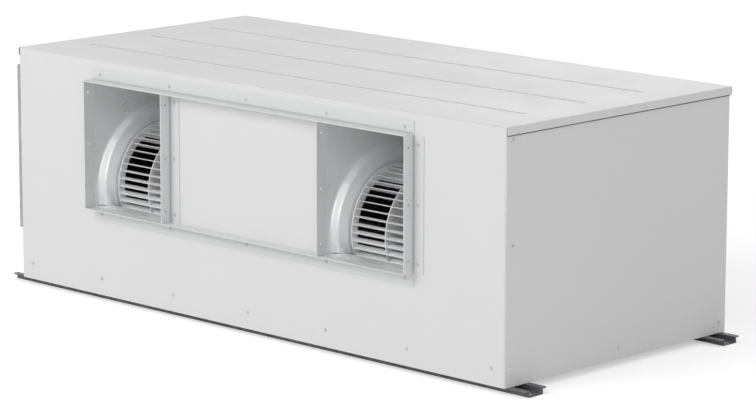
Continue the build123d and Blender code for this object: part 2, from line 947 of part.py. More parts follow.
with BuildPart() as motor_bands:
    for x in (-stand_pitch / 2 - stand_sheet / 2, stand_pitch / 2 + stand_sheet / 2):
        with BuildSketch(Plane.YZ.offset(x - band_width / 2)):
            with Locations((axis_y, axis_z)):
                Circle(motor_radius + seat_gap + band_sheet)
                Rectangle(2 * cradle_half, 2 * band_sheet)
                Circle(motor_radius + seat_gap, mode=Mode.SUBTRACT)
                Rectangle(
                    2 * cradle_half,
                    2 * motor_radius,
                    align=(Align.CENTER, Align.MAX),
                    mode=Mode.SUBTRACT,
                )
        extrude(amount=band_width)
finish(motor_bands, "motor_bands")

# Cooling coil: a block of fins between two end plates
with BuildPart() as coil_fin_pack:
    block((coil_left, coil_front, coil_bottom), (coil_right, coil_rear, coil_top))
finish(coil_fin_pack, "coil_fin_pack")


def coil_end_plate(x, side, label):
    """A folded plate at one end of the fins, standing in the drain pan."""
    with BuildPart() as plate:
        block(
            (min(x, x + side * sheet), coil_front - plate_margin, pan_floor),
            (max(x, x + side * sheet), coil_rear + plate_margin, coil_top + plate_margin),
        )
        block(
            (min(x, x - side * panel_flange), coil_front - plate_margin, coil_top),
            (max(x, x - side * panel_flange), coil_rear + plate_margin, coil_top + sheet),
        )
    finish(plate, label)


coil_end_plate(coil_left, -1, "coil_end_plate_left")
coil_end_plate(coil_right, 1, "coil_end_plate_right")

bend_x = coil_right + sheet
with BuildPart() as bend:
    with BuildSketch(Plane.YZ):
        with Locations((0, tube_pitch / 2)):
            Circle(tube_radius)
    revolve(axis=Axis((0, 0, 0), (0, 1, 0)), revolution_arc=180)

with BuildPart() as coil_return_bends:
    for y in spread(tube_rows, row_pitch):
        for z in spread(tubes_per_row // 2, 2 * tube_pitch):
            middle = (bend_x, (coil_front + coil_rear) / 2 + y, (coil_bottom + coil_top) / 2 + z)
            with Locations(middle):
                add(bend.part)
finish(coil_return_bends, "coil_return_bends")


def header(y, radius, feeder_radius, pipe_radius, pipe_z, label):
    """An upright header with its feeders to the coil and its pipe out of the left side."""
    low_z = coil_bottom + 2 * tube_pitch
    high_z = coil_top - tube_pitch
    pipe_end = -half_width - pipe_reach
    socket_radius = pipe_radius + socket_gap
    with BuildPart() as tubes:
        rod((header_x, y, low_z), (header_x, y, high_z), radius)
        for i in range(feeder_count):
            z = low_z + tube_pitch + i * (high_z - low_z - 2 * tube_pitch) / (feeder_count - 1)
            rod((header_x, y, z), (coil_left - sheet, y, z), feeder_radius)
        rod((pipe_end, y, pipe_z), (header_x, y, pipe_z), pipe_radius)
        rod(
            (pipe_end, y, pipe_z),
            (pipe_end + socket_depth + 2 * tube_wall, y, pipe_z),
            socket_radius + tube_wall,
        )
        rod(
            (pipe_end, y, pipe_z),
            (header_x, y, pipe_z),
            pipe_radius - tube_wall,
            mode=Mode.SUBTRACT,
        )
        rod(
            (header_x, y, low_z + tube_wall),
            (header_x, y, high_z - tube_wall),
            radius - tube_wall,
            mode=Mode.SUBTRACT,
        )
        rod(
            (pipe_end, y, pipe_z),
            (pipe_end + socket_depth, y, pipe_z),
            socket_radius,
            mode=Mode.SUBTRACT,
        )
    finish(tubes, label)


header(suction_y, suction_header_radius, tube_radius, suction_radius, suction_z, "suction_header")
header(liquid_y, liquid_header_radius, liquid_feeder_radius, liquid_radius, liquid_z, "liquid_header")

with BuildPart() as pipe_grommets:
    grommets = [
        (suction_y, suction_z, suction_radius),
        (liquid_y, liquid_z, liquid_radius),
    ]
    for y, z, radius in grommets:
        inside = -half_width + sheet + side_foam
        rod((-half_width - grommet_brim, y, z), (inside, y, z), radius + grommet_wall)
        rod(
            (-half_width - grommet_brim, y, z),
            (-half_width, y, z),
            radius + grommet_wall + grommet_brim_wall,
        )
        rod((-half_width - grommet_brim, y, z), (inside, y, z), radius + seat_gap, mode=Mode.SUBTRACT)
finish(pipe_grommets, "pipe_grommets")

# Drain pan under the coil, and its spigot through the left side
with BuildPart() as drain_pan:
    block(
        (pan_left, coil_front - pan_margin, floor_z),
        (pan_right, coil_rear + pan_margin, floor_z + pan_height),
    )
    block(
        (pan_left + pan_wall, coil_front - pan_margin + pan_wall, pan_floor),
        (pan_right - pan_wall, coil_rear + pan_margin - pan_wall, floor_z + pan_height),
        mode=Mode.SUBTRACT,
    )
    rod(
        (pan_left - pan_wall, spigot_y, spigot_z),
        (pan_left + 2 * pan_wall, spigot_y, spigot_z),
        spigot_radius + seat_gap,
        mode=Mode.SUBTRACT,
    )
finish(drain_pan, "drain_pan")

spigot_end = -half_width - spigot_reach
with BuildPart() as drain_spigot:
    rod((spigot_end, spigot_y, spigot_z), (pan_left + pan_wall, spigot_y, spigot_z), spigot_radius)
    rod(
        (-half_width - spigot_collar, spigot_y, spigot_z),
        (-half_width, spigot_y, spigot_z),
        spigot_radius + spigot_collar,
    )
    rod(
        (spigot_end, spigot_y, spigot_z),
        (pan_left + pan_wall, spigot_y, spigot_z),
        spigot_radius - spigot_wall,
        mode=Mode.SUBTRACT,
    )
finish(drain_spigot, "drain_spigot")

# Filter tracks: channels that the filters slide in
track_left = -inner_x + side_foam
filter_right = inner_x - filter_right_room
track_right = filter_right + filter_gap + track_sheet


def filter_track(edge_z, inward, wall_z, label):
    """A channel along the filters' edge, with a leg to the base or the roof."""
    with BuildPart() as track:
        low_y = filter_front - filter_gap
        high_y = filter_rear + filter_gap
        floor = edge_z - inward * filter_gap
        with BuildSketch(Plane.YZ.offset(track_left)):
            with BuildLine():
                Polyline(
                    (low_y, edge_z + inward * track_lip),
                    (low_y, floor),
                    (high_y, floor),
                    (high_y, edge_z + inward * track_lip),
                    (high_y + track_sheet, edge_z + inward * track_lip),
                    (high_y + track_sheet, wall_z),
                    (high_y, wall_z),
                    (high_y, floor - inward * track_sheet),
                    (low_y - track_sheet, floor - inward * track_sheet),
                    (low_y - track_sheet, edge_z + inward * track_lip),
                    close=True,
                )
            make_face()
        extrude(amount=track_right - track_left)
    finish(track, label)


filter_track(filter_bottom, 1, floor_z, "filter_track_bottom")
filter_track(filter_top, -1, roof_under, "filter_track_top")

mesh_y = (filter_front + filter_rear) / 2
filter_middle = (filter_bottom + filter_top) / 2
groove = filter_border / 2


def filter_frame(left, right, pull, label):
    """A filter's border with a middle bar; the outer filter carries the pull plate."""
    with BuildPart() as frame:
        with BuildSketch(Plane.XZ.offset(-filter_rear)):
            with Locations(((left + right) / 2, filter_middle)):
                Rectangle(right - left, filter_height)
                width = (right - left - 3 * filter_border) / 2
                with GridLocations(width + filter_border, 0, 2, 1):
                    Rectangle(width, filter_height - 2 * filter_border, mode=Mode.SUBTRACT)
        extrude(amount=filter_thickness)
        block(
            (left + groove, mesh_y - mesh_thickness / 2 - seat_gap, filter_bottom + groove),
            (right - groove, mesh_y + mesh_thickness / 2 + seat_gap, filter_top - groove),
            mode=Mode.SUBTRACT,
        )
        if pull:
            block(
                (left - pull_plate, slot_front - slot_overlap, filter_bottom - slot_overlap),
                (left, slot_rear + slot_overlap, filter_top + slot_overlap),
            )
            block(
                (left - pull_reach, mesh_y - pull_plate / 2, filter_middle - pull_length / 2),
                (left, mesh_y + pull_plate / 2, filter_middle + pull_length / 2),
            )
    finish(frame, label)


def filter_mesh(left, right, label):
    """The filter cloth, a thin sheet held in the frame's groove."""
    with BuildPart() as cloth:
        inset = groove + seat_gap
        block(
            (left + inset, mesh_y - mesh_thickness / 2, filter_bottom + inset),
            (right - inset, mesh_y + mesh_thickness / 2, filter_top - inset),
        )
    finish(cloth, label)


left_filter_end = -half_width - filter_gap / 2
filter_frame(left_filter_end, -filter_join / 2, True, "left_filter_frame")
filter_mesh(left_filter_end, -filter_join / 2, "left_filter_mesh")
filter_frame(filter_join / 2, filter_right, False, "right_filter_frame")
filter_mesh(filter_join / 2, filter_right, "right_filter_mesh")

# Control box: a folded channel on the left side, closed by two end plates and a hinged cover
cover_screw_z = [box_bottom + cover_screw_inset, box_top - cover_screw_inset]
cover_screw_y = tray_front + box_rim / 2
cover_screw_spots = [faces_left(box_outer_x, cover_screw_y, z) for z in cover_screw_z]
gland_spots = [wire_y - gland_pitch / 2, wire_y + gland_pitch / 2]
gland_x = (-half_width + tray_rim_x) / 2
knuckle_step = knuckle_length + knuckle_gap
knuckle_z = [(box_bottom + box_top) / 2 + z for z in spread(7, knuckle_step)]


def knuckles(places, leaf_low, leaf_high):
    """Hinge barrels with their leaf, one at each height."""
    for z in places:
        low_z = z - knuckle_length / 2
        high_z = z + knuckle_length / 2
        rod((pin_x, pin_y, low_z), (pin_x, pin_y, high_z), knuckle_radius)
        block((leaf_low[0], leaf_low[1], low_z), (leaf_high[0], leaf_high[1], high_z))
        rod(
            (pin_x, pin_y, low_z),
            (pin_x, pin_y, high_z),
            hinge_pin_radius + hinge_pin_gap,
            mode=Mode.SUBTRACT,
        )


with BuildPart() as control_box:
    block((tray_rim_x, tray_front, tray_bottom), (-half_width, box_rear, tray_top))
    block(
        (tray_rim_x + sheet, tray_front + sheet, tray_bottom),
        (-half_width - sheet, box_rear - sheet, tray_top),
        mode=Mode.SUBTRACT,
    )
    block(
        (tray_rim_x, tray_front + box_rim, tray_bottom),
        (tray_rim_x + sheet, box_rear - sheet, tray_top),
        mode=Mode.SUBTRACT,
    )
    end_fit = sheet + seat_gap
    for plate_low in (tray_bottom, tray_top - sheet):
        block(
            (tray_rim_x + end_fit, tray_front + end_fit, plate_low),
            (-half_width - end_fit, box_rear - end_fit, plate_low + sheet),
        )
    leaf_x = pin_x + knuckle_radius
    knuckles(knuckle_z[0::2], (leaf_x - sheet, box_rear), (leaf_x, pin_y))
    drill(cover_screw_spots, screw_hole + cover_gap, box_rim)
    drill([wire_spot], wire_hole, 4 * sheet)
    for y in gland_spots:
        rod(
            (gland_x, y, tray_bottom - sheet),
            (gland_x, y, tray_bottom + 2 * sheet),
            gland_thread_radius + seat_gap,
            mode=Mode.SUBTRACT,
        )
finish(control_box, "control_box")

with BuildPart() as control_cover:
    block((box_outer_x, box_front, box_bottom), (box_outer_x + cover_lip, box_rear, box_top))
    block(
        (box_outer_x + sheet, box_front + sheet, box_bottom + sheet),
        (box_outer_x + cover_lip, box_rear, box_top - sheet),
        mode=Mode.SUBTRACT,
    )
    knuckles(knuckle_z[1::2], (box_outer_x, box_rear), (box_outer_x + sheet, pin_y))
    drill(cover_screw_spots, screw_hole, 4 * sheet)
finish(control_cover, "control_cover")

with BuildPart() as cover_hinge_pin:
    pin_low = knuckle_z[0] - knuckle_length / 2
    pin_high = knuckle_z[-1] + knuckle_length / 2
    rod((pin_x, pin_y, pin_low - knuckle_gap), (pin_x, pin_y, pin_high), hinge_pin_radius)
    rod(
        (pin_x, pin_y, pin_high),
        (pin_x, pin_y, pin_high + hinge_pin_radius / 2),
        hinge_pin_radius + sheet,
    )
finish(cover_hinge_pin, "cover_hinge_pin")


def screw_shape(length):
    """One screw at the origin, its head up."""
    with BuildPart() as screw:
        with BuildSketch(Plane.XY):
            Circle(washer_radius)
        extrude(amount=washer_height)
        with BuildSketch(Plane.XY.offset(washer_height)):
            RegularPolygon(hex_radius, 6)
        extrude(amount=hex_height)
        with BuildSketch(Plane.XY):
            Circle(screw_radius)
        extrude(amount=-length)
    return screw


panel_screw = screw_shape(screw_length)
cover_screw = screw_shape(3 * sheet)
with BuildPart() as cover_screws:
    with Locations(*cover_screw_spots):
        add(cover_screw.part)
finish(cover_screws, "cover_screws")

with BuildPart() as casing_screws:
    with Locations(*(front_spots + rear_spots + left_spots + right_spots)):
        add(panel_screw.part)
finish(casing_screws, "casing_screws")

with BuildPart() as flange_screws:
    with Locations(*(top_leg_spots + bottom_leg_spots + upright_spots + return_spots)):
        add(panel_screw.part)
finish(flange_screws, "flange_screws")

# Electrical parts inside the control box
back_x = -half_width - sheet
board_x = back_x - board_lift
board_front = board_x - board_sheet
board_y = box_rear - 2 * sheet - board_inset - board_width / 2
board_z = box_top - cover_screw_inset - board_height / 2
relay_y = board_y + board_width / 2 - board_inset - relay
supply_y = board_y - board_width / 2 + 2 * board_inset + supply_width / 2
with BuildPart() as control_board:
    block(
        (board_front, board_y - board_width / 2, board_z - board_height / 2),
        (board_x, board_y + board_width / 2, board_z + board_height / 2),
    )
    for y in (-1, 1):
        for z in (-1, 1):
            spot_y = board_y + y * (board_width / 2 - board_inset)
            spot_z = board_z + z * (board_height / 2 - board_inset)
            rod((back_x, spot_y, spot_z), (board_x, spot_y, spot_z), standoff_radius)
    for z in spread(relay_count, relay_pitch):
        block(
            (board_front - relay, relay_y - relay / 2, board_z + z - relay / 2),
            (board_front, relay_y + relay / 2, board_z + z + relay / 2),
        )
    block(
        (board_front - supply_depth, supply_y - supply_width / 2, board_z - supply_height / 2),
        (board_front, supply_y + supply_width / 2, board_z + supply_height / 2),
    )
finish(control_board, "control_board")

terminal_z = box_bottom + terminal_lift
terminal_low = terminal_z - terminal_height / 2
terminal_high = terminal_z + terminal_height / 2
half_row = terminal_count * terminal_pitch / 2
with BuildPart() as terminal_block:
    block(
        (back_x - terminal_depth / 2, wire_y - half_row, terminal_low),
        (back_x, wire_y + half_row, terminal_high),
    )
    for y in spread(terminal_count + 1, terminal_pitch - terminal_rib / terminal_count):
        block(
            (back_x - terminal_depth, wire_y + y - terminal_rib / 2, terminal_low),
            (back_x, wire_y + y + terminal_rib / 2, terminal_high),
        )
    for y in spread(terminal_count, terminal_pitch):
        rod(
            (back_x - terminal_depth / 2, wire_y + y, terminal_z),
            (back_x - terminal_screw_top, wire_y + y, terminal_z),
            terminal_screw_radius,
        )
finish(terminal_block, "terminal_block")

capacitor_x = back_x - capacitor_radius
capacitor_y = tray_front + box_rim + capacitor_radius + sheet
capacitor_z = (box_bottom + box_top) / 2
capacitor_top = capacitor_z + capacitor_height
with BuildPart() as run_capacitor:
    rod(
        (capacitor_x, capacitor_y, capacitor_z),
        (capacitor_x, capacitor_y, capacitor_top),
        capacitor_radius,
    )
    fillet(run_capacitor.edges().filter_by(GeomType.CIRCLE), capacitor_round)
    for y in (-capacitor_radius / 2, capacitor_radius / 2):
        block(
            (capacitor_x - tab_sheet / 2, capacitor_y + y - tab_width / 2, capacitor_top),
            (capacitor_x + tab_sheet / 2, capacitor_y + y + tab_width / 2, capacitor_top + tab_length),
        )
finish(run_capacitor, "run_capacitor")

gland_low = tray_bottom - gland_nut - gland_body
gland_high = tray_bottom + gland_thread
with BuildPart() as cable_glands:
    for y in gland_spots:
        with BuildSketch(Plane.XY.offset(tray_bottom)):
            with Locations((gland_x, y)):
                RegularPolygon(gland_nut_radius, 6)
        extrude(amount=-gland_nut)
        rod((gland_x, y, tray_bottom - gland_nut), (gland_x, y, gland_low), gland_radius)
        rod((gland_x, y, tray_bottom), (gland_x, y, gland_high), gland_thread_radius)
        rod((gland_x, y, gland_high), (gland_x, y, gland_low), gland_bore, mode=Mode.SUBTRACT)
finish(cable_glands, "cable_glands")

# Insulation under the roof and on the sides, with sealing tape behind the roof's side lips
foam_top = roof_under - bead_depth
foam_rear = filter_front - 2 * filter_gap - 2 * track_sheet
with BuildPart() as roof_insulation:
    block(
        (-inner_x + 2 * sheet, front_y + panel_flange + flange_notch, foam_top - foam),
        (inner_x - 2 * sheet, foam_rear, foam_top),
    )
    for low_x, high_x in ((-half_width - lip_gap, -half_width), (half_width, half_width + lip_gap)):
        block(
            (low_x, front_y + flange_notch, top_z - lip_height - lip_tape_drop),
            (high_x, rear_y - flange_notch, roof_under),
        )
finish(roof_insulation, "roof_insulation")

with BuildPart() as side_insulation:
    for low_x, high_x in ((-inner_x, -inner_x + side_foam), (inner_x - side_foam, inner_x)):
        block(
            (low_x, front_y + panel_flange + flange_notch, base_z + base_flange + flange_notch),
            (high_x, foam_rear, foam_top - foam),
        )
    for spot, radius in zip(pipe_spots, pipe_holes):
        drill([spot], radius, 4 * side_foam)
    drill([wire_spot], wire_hole, 4 * side_foam)
finish(side_insulation, "side_insulation")
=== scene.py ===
"""Looks of a ducted air conditioner indoor unit, built around its CAD frame."""

import json
import logging
import math
from dataclasses import dataclass, field
from enum import Enum

import bpy
import numpy as np
from mathutils import Matrix, Vector

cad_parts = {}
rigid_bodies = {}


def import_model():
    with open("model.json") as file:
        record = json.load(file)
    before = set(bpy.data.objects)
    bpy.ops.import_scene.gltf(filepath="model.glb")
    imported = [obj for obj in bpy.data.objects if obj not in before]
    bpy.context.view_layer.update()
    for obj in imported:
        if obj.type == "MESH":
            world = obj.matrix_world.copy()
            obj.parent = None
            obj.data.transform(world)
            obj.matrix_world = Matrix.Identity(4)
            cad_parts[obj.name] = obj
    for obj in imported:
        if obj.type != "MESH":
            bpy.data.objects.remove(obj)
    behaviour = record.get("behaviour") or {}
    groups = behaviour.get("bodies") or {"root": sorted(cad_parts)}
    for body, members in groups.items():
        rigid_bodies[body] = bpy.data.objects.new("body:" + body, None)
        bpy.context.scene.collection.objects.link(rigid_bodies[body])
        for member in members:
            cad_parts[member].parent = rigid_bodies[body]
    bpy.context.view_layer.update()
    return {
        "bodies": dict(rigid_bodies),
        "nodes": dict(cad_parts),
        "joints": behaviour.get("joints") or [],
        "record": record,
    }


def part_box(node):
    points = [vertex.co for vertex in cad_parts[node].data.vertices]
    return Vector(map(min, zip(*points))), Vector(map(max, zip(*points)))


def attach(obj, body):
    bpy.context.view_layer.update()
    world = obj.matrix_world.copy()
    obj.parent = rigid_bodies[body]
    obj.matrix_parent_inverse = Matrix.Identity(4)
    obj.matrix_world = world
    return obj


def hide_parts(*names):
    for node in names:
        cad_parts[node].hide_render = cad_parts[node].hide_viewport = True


log = logging.getLogger("ducted_unit")
MM = 0.001
NEAR_AXIS = 0.02
Colour = tuple[float, float, float]
Place = tuple[float, float, float]


class Lay(Enum):
    """Direction in which a pattern of lines runs, as stretch factors along X, Y and Z."""

    ALONG_X = (0.04, 1.0, 1.0)
    ALONG_Z = (1.0, 1.0, 0.04)
    AROUND_X = (1.0, 0.03, 0.03)
    EVEN = (1.0, 1.0, 1.0)


class Side(Enum):
    """Left or right half of the unit, as a sign along X."""

    LEFT = -1
    RIGHT = 1


class Graph:
    """Adds nodes to one node tree and joins them."""

    def __init__(self, tree: bpy.types.NodeTree) -> None:
        """Keep the tree.

        Args:
            tree: The material's or group's node tree.
        """
        self.tree = tree

    def add(self, kind: str, values: dict | None = None, **settings: object) -> bpy.types.Node:
        """Add one node.

        Args:
            kind: The node's type name without its prefix.
            values: Socket names or numbers and what goes into them, a number, a colour or an output.
            settings: Attributes of the node itself.

        Returns:
            The new node.
        """
        prefix = "" if kind.startswith("NodeGroup") else "ShaderNode"
        node = self.tree.nodes.new(prefix + kind)
        for key, value in settings.items():
            setattr(node, key, value)
        for key, value in (values or {}).items():
            self.put(node, key, value)
        return node

    def put(self, node: bpy.types.Node, key: str | int, value: object) -> None:
        """Set one input of a node, or join an output to it.

        Args:
            node: The node whose input it is.
            key: The input's name or number.
            value: A number, a colour, or another node's output.
        """
        if isinstance(value, bpy.types.NodeSocket):
            self.tree.links.new(value, node.inputs[key])
        else:
            node.inputs[key].default_value = value

    def maths(self, operation: str, first: object, second: object = 0.0) -> bpy.types.NodeSocket:
        """One step of arithmetic.

        Args:
            operation: The Math node's operation.
            first: Its first value or output.
            second: Its second value or output.

        Returns:
            The result's output.
        """
        return self.add("Math", {0: first, 1: second}, operation=operation).outputs[0]

    def blend(
        self, factor: object, first: object, second: object, mode: str = "MIX"
    ) -> bpy.types.NodeSocket:
        """Mix two colours.

        Args:
            factor: How much of the second colour shows.
            first: The colour or output underneath.
            second: The colour or output on top.
            mode: The Mix node's blend type.

        Returns:
            The mixed colour's output.
        """
        node = self.add("Mix", data_type="RGBA", blend_type=mode)
        self.put(node, 0, factor)
        self.put(node, 6, first)
        self.put(node, 7, second)
        return node.outputs[2]

    def noise(self, place: object, scale: object, detail: float = 3.0) -> bpy.types.NodeSocket:
        """Smooth noise between 0 and 1.

        Args:
            place: The coordinates' output.
            scale: Cells per metre.
            detail: Octaves.

        Returns:
            The noise's value output.
        """
        return self.add("TexNoise", {"Vector": place, "Scale": scale, "Detail": detail}).outputs[0]

    def grey(self, value: object) -> bpy.types.NodeSocket:
        """A grey colour from one value.

        Args:
            value: The output that all three channels take.

        Returns:
            The colour's output.
        """
        return self.add("CombineColor", {0: value, 1: value, 2: value}).outputs[0]

    def span(
        self, value: object, low: float, high: float, to_low: float, to_high: float
    ) -> bpy.types.NodeSocket:
        """Stretch a value from one range to another and hold it inside the new one.

        Args:
            value: The output to stretch.
            low: Start of its own range.
            high: End of its own range.
            to_low: Start of the new range.
            to_high: End of the new range.

        Returns:
            The stretched value's output.
        """
        return self.add("MapRange", {0: value, 1: low, 2: high, 3: to_low, 4: to_high}).outputs[0]


class GroupName(Enum):
    """Effects that several finishes share."""

    MOTTLE = "mottle"
    GRAIN = "grain"
    SPANGLE = "spangle"
    DUST = "dust"
    BRUSHING = "brushing"


@dataclass
class Effects:
    """The shared node groups, each built once."""

    made: dict[GroupName, bpy.types.NodeTree] = field(default_factory=dict)

    def shell(self, name: GroupName, inputs: dict[str, object], outputs: dict[str, str]) -> Graph:
        """Start a group with its named sockets.

        Args:
            name: The group's name.
            inputs: Input names with their starting values.
            outputs: Output names with their socket types.

        Returns:
            The graph of the new group.
        """
        tree = bpy.data.node_groups.new(name.value, "ShaderNodeTree")
        for label, value in inputs.items():
            kind = "NodeSocketFloat" if isinstance(value, float) else "NodeSocketColor"
            kind = "NodeSocketVector" if isinstance(value, tuple) and len(value) == 3 else kind
            socket = tree.interface.new_socket(label, in_out="INPUT", socket_type=kind)
            socket.default_value = value
        for label, kind in outputs.items():
            tree.interface.new_socket(label, in_out="OUTPUT", socket_type=kind)
        self.made[name] = tree
        return Graph(tree)

    def mottle(self) -> None:
        """Soft cloudy change of a colour, with its value for the roughness."""
        graph = self.shell(
            GroupName.MOTTLE,
            {"Color": (0.8, 0.8, 0.8, 1.0), "Scale": 9.0, "Amount": 0.05},
            {"Color": "NodeSocketColor", "Cloud": "NodeSocketFloat"},
        )
        given = graph.add("NodeGroupInput")
        place = graph.add("TexCoord").outputs["Object"]
        wide = graph.noise(place, given.outputs["Scale"])
        fine = graph.noise(place, graph.maths("MULTIPLY", given.outputs["Scale"], 6.3))
        both = graph.maths("ADD", graph.maths("MULTIPLY", wide, 0.7), graph.maths("MULTIPLY", fine, 0.3))
        cloud = graph.span(both, 0.3, 0.7, 0.0, 1.0)
        shade = graph.maths("SUBTRACT", 1.0, graph.maths("MULTIPLY", cloud, given.outputs["Amount"]))
        colour = graph.blend(1.0, given.outputs["Color"], graph.grey(shade), "MULTIPLY")
        graph.add("NodeGroupOutput", {"Color": colour, "Cloud": cloud})

    def grain(self) -> None:
        """Fine bumps, such as the orange peel of powder coat or the skin of a moulding."""
        graph = self.shell(
            GroupName.GRAIN,
            {"Scale": 900.0, "Height": 0.0001},
            {"Normal": "NodeSocketVector"},
        )
        given = graph.add("NodeGroupInput")
        place = graph.add("TexCoord").outputs["Object"]
        height = graph.noise(place, given.outputs["Scale"], 2.0)
        lifted = graph.maths("MULTIPLY", height, given.outputs["Height"])
        bump = graph.add("Bump", {"Height": lifted, "Strength": 1.0, "Distance": 1.0})
        graph.add("NodeGroupOutput", {"Normal": bump.outputs[0]})

    def spangle(self) -> None:
        """Crystals of a zinc coat: each cell has its own shade and shine."""
        graph = self.shell(
            GroupName.SPANGLE,
            {"Color": (0.6, 0.6, 0.6, 1.0), "Scale": 90.0, "Contrast": 0.2},
            {"Color": "NodeSocketColor", "Shine": "NodeSocketFloat"},
        )
        given = graph.add("NodeGroupInput")
        place = graph.add("TexCoord").outputs["Object"]
        warp = graph.add("TexNoise", {"Vector": place, "Scale": 40.0, "Detail": 2.0}).outputs["Color"]
        bent = graph.add("Mix", {0: 0.012, 4: place, 5: warp}, data_type="VECTOR").outputs[1]
        cells = graph.add("TexVoronoi", {"Vector": bent, "Scale": given.outputs["Scale"]})
        parts = graph.add("SeparateColor", {0: cells.outputs["Color"]})
        own = graph.maths("SUBTRACT", parts.outputs[0], 0.5)
        factor = graph.maths("ADD", 1.0, graph.maths("MULTIPLY", own, given.outputs["Contrast"]))
        colour = graph.blend(1.0, given.outputs["Color"], graph.grey(factor), "MULTIPLY")
        graph.add("NodeGroupOutput", {"Color": colour, "Shine": parts.outputs[1]})

    def dust(self) -> None:
        """Thin dust on the faces that look up."""
        graph = self.shell(
            GroupName.DUST,
            {"Color": (0.8, 0.8, 0.8, 1.0), "Amount": 0.2},
            {"Color": "NodeSocketColor", "Mask": "NodeSocketFloat"},
        )
        given = graph.add("NodeGroupInput")
        coordinates = graph.add("TexCoord")
        up = graph.add("SeparateXYZ", {0: coordinates.outputs["Normal"]}).outputs["Z"]
        facing = graph.span(up, 0.3, 1.0, 0.0, 1.0)
        patches = graph.span(graph.noise(coordinates.outputs["Object"], 14.0, 6.0), 0.35, 0.7, 0.2, 1.0)
        mask = graph.maths("MULTIPLY", graph.maths("MULTIPLY", facing, patches), given.outputs["Amount"])
        colour = graph.blend(mask, given.outputs["Color"], (0.42, 0.40, 0.37, 1.0))
        graph.add("NodeGroupOutput", {"Color": colour, "Mask": mask})

    def brushing(self) -> None:
        """Fine parallel lines left by rolling, turning or drawing."""
        graph = self.shell(
            GroupName.BRUSHING,
            {"Stretch": (1.0, 1.0, 1.0), "Scale": 600.0, "Height": 0.00004},
            {"Lines": "NodeSocketFloat", "Normal": "NodeSocketVector"},
        )
        given = graph.add("NodeGroupInput")
        place = graph.add("TexCoord").outputs["Object"]
        drawn = graph.add("VectorMath", {0: place, 1: given.outputs["Stretch"]}, operation="MULTIPLY")
        lines = graph.noise(drawn.outputs[0], given.outputs["Scale"], 4.0)
        lifted = graph.maths("MULTIPLY", lines, given.outputs["Height"])
        bump = graph.add("Bump", {"Height": lifted, "Strength": 1.0, "Distance": 1.0})
        graph.add("NodeGroupOutput", {"Lines": lines, "Normal": bump.outputs[0]})

    def build(self) -> "Effects":
        """Build every group.

        Returns:
            This object, with its groups made.
        """
        for maker in (self.mottle, self.grain, self.spangle, self.dust, self.brushing):
            maker()
        return self


@dataclass(frozen=True)
class Finish:
    """What every finish has: a name, a colour and a roughness."""

    name: str
    colour: Colour
    roughness: float
    metallic: float = 0.0

    @property
    def paint(self) -> tuple[float, float, float, float]:
        """The colour with full opacity."""
        return (*self.colour, 1.0)

    def dress(self, graph: Graph, shader: bpy.types.Node, effects: Effects) -> None:
        """Join the finish's pattern to the shader; each kind of finish has its own.

        Args:
            graph: The material's graph.
            shader: The material's Principled node.
            effects: The shared groups.
        """

    def make(self, effects: Effects) -> bpy.types.Material:
        """Build the material.

        Args:
            effects: The shared groups.

        Returns:
            The new material.
        """
        material = bpy.data.materials.new(self.name)
        material.use_nodes = True
        material.diffuse_color = self.paint
        graph = Graph(material.node_tree)
        shader = material.node_tree.nodes["Principled BSDF"]
        shader.inputs["Base Color"].default_value = self.paint
        shader.inputs["Roughness"].default_value = self.roughness
        shader.inputs["Metallic"].default_value = self.metallic
        self.dress(graph, shader, effects)
        return material

    def group(self, graph: Graph, effects: Effects, name: GroupName, **values: object) -> bpy.types.Node:
        """Place one shared group in the material.

        Args:
            graph: The material's graph.
            effects: The shared groups.
            name: Which group.
            values: Its inputs.

        Returns:
            The group node.
        """
        node = graph.add("Group", node_tree=effects.made[name])
        for key, value in values.items():
            graph.put(node, key, value)
        return node

    def cloudy(self, graph: Graph, effects: Effects, scale: float, amount: float) -> bpy.types.Node:
        """The finish's own colour under a soft cloud.

        Args:
            graph: The material's graph.
            effects: The shared groups.
            scale: Clouds per metre.
            amount: How much darker the clouds are.

        Returns:
            The mottle group's node.
        """
        return self.group(graph, effects, GroupName.MOTTLE, Color=self.paint, Scale=scale, Amount=amount)

    def rougher(self, graph: Graph, cloud: object, down: float, up: float) -> bpy.types.NodeSocket:
        """A roughness that follows a cloud.

        Args:
            graph: The material's graph.
            cloud: The cloud's output, from 0 to 1.
            down: How far below the finish's own roughness it starts.
            up: How far above it ends.

        Returns:
            The roughness's output.
        """
        return graph.span(cloud, 0.0, 1.0, self.roughness - down, self.roughness + up)


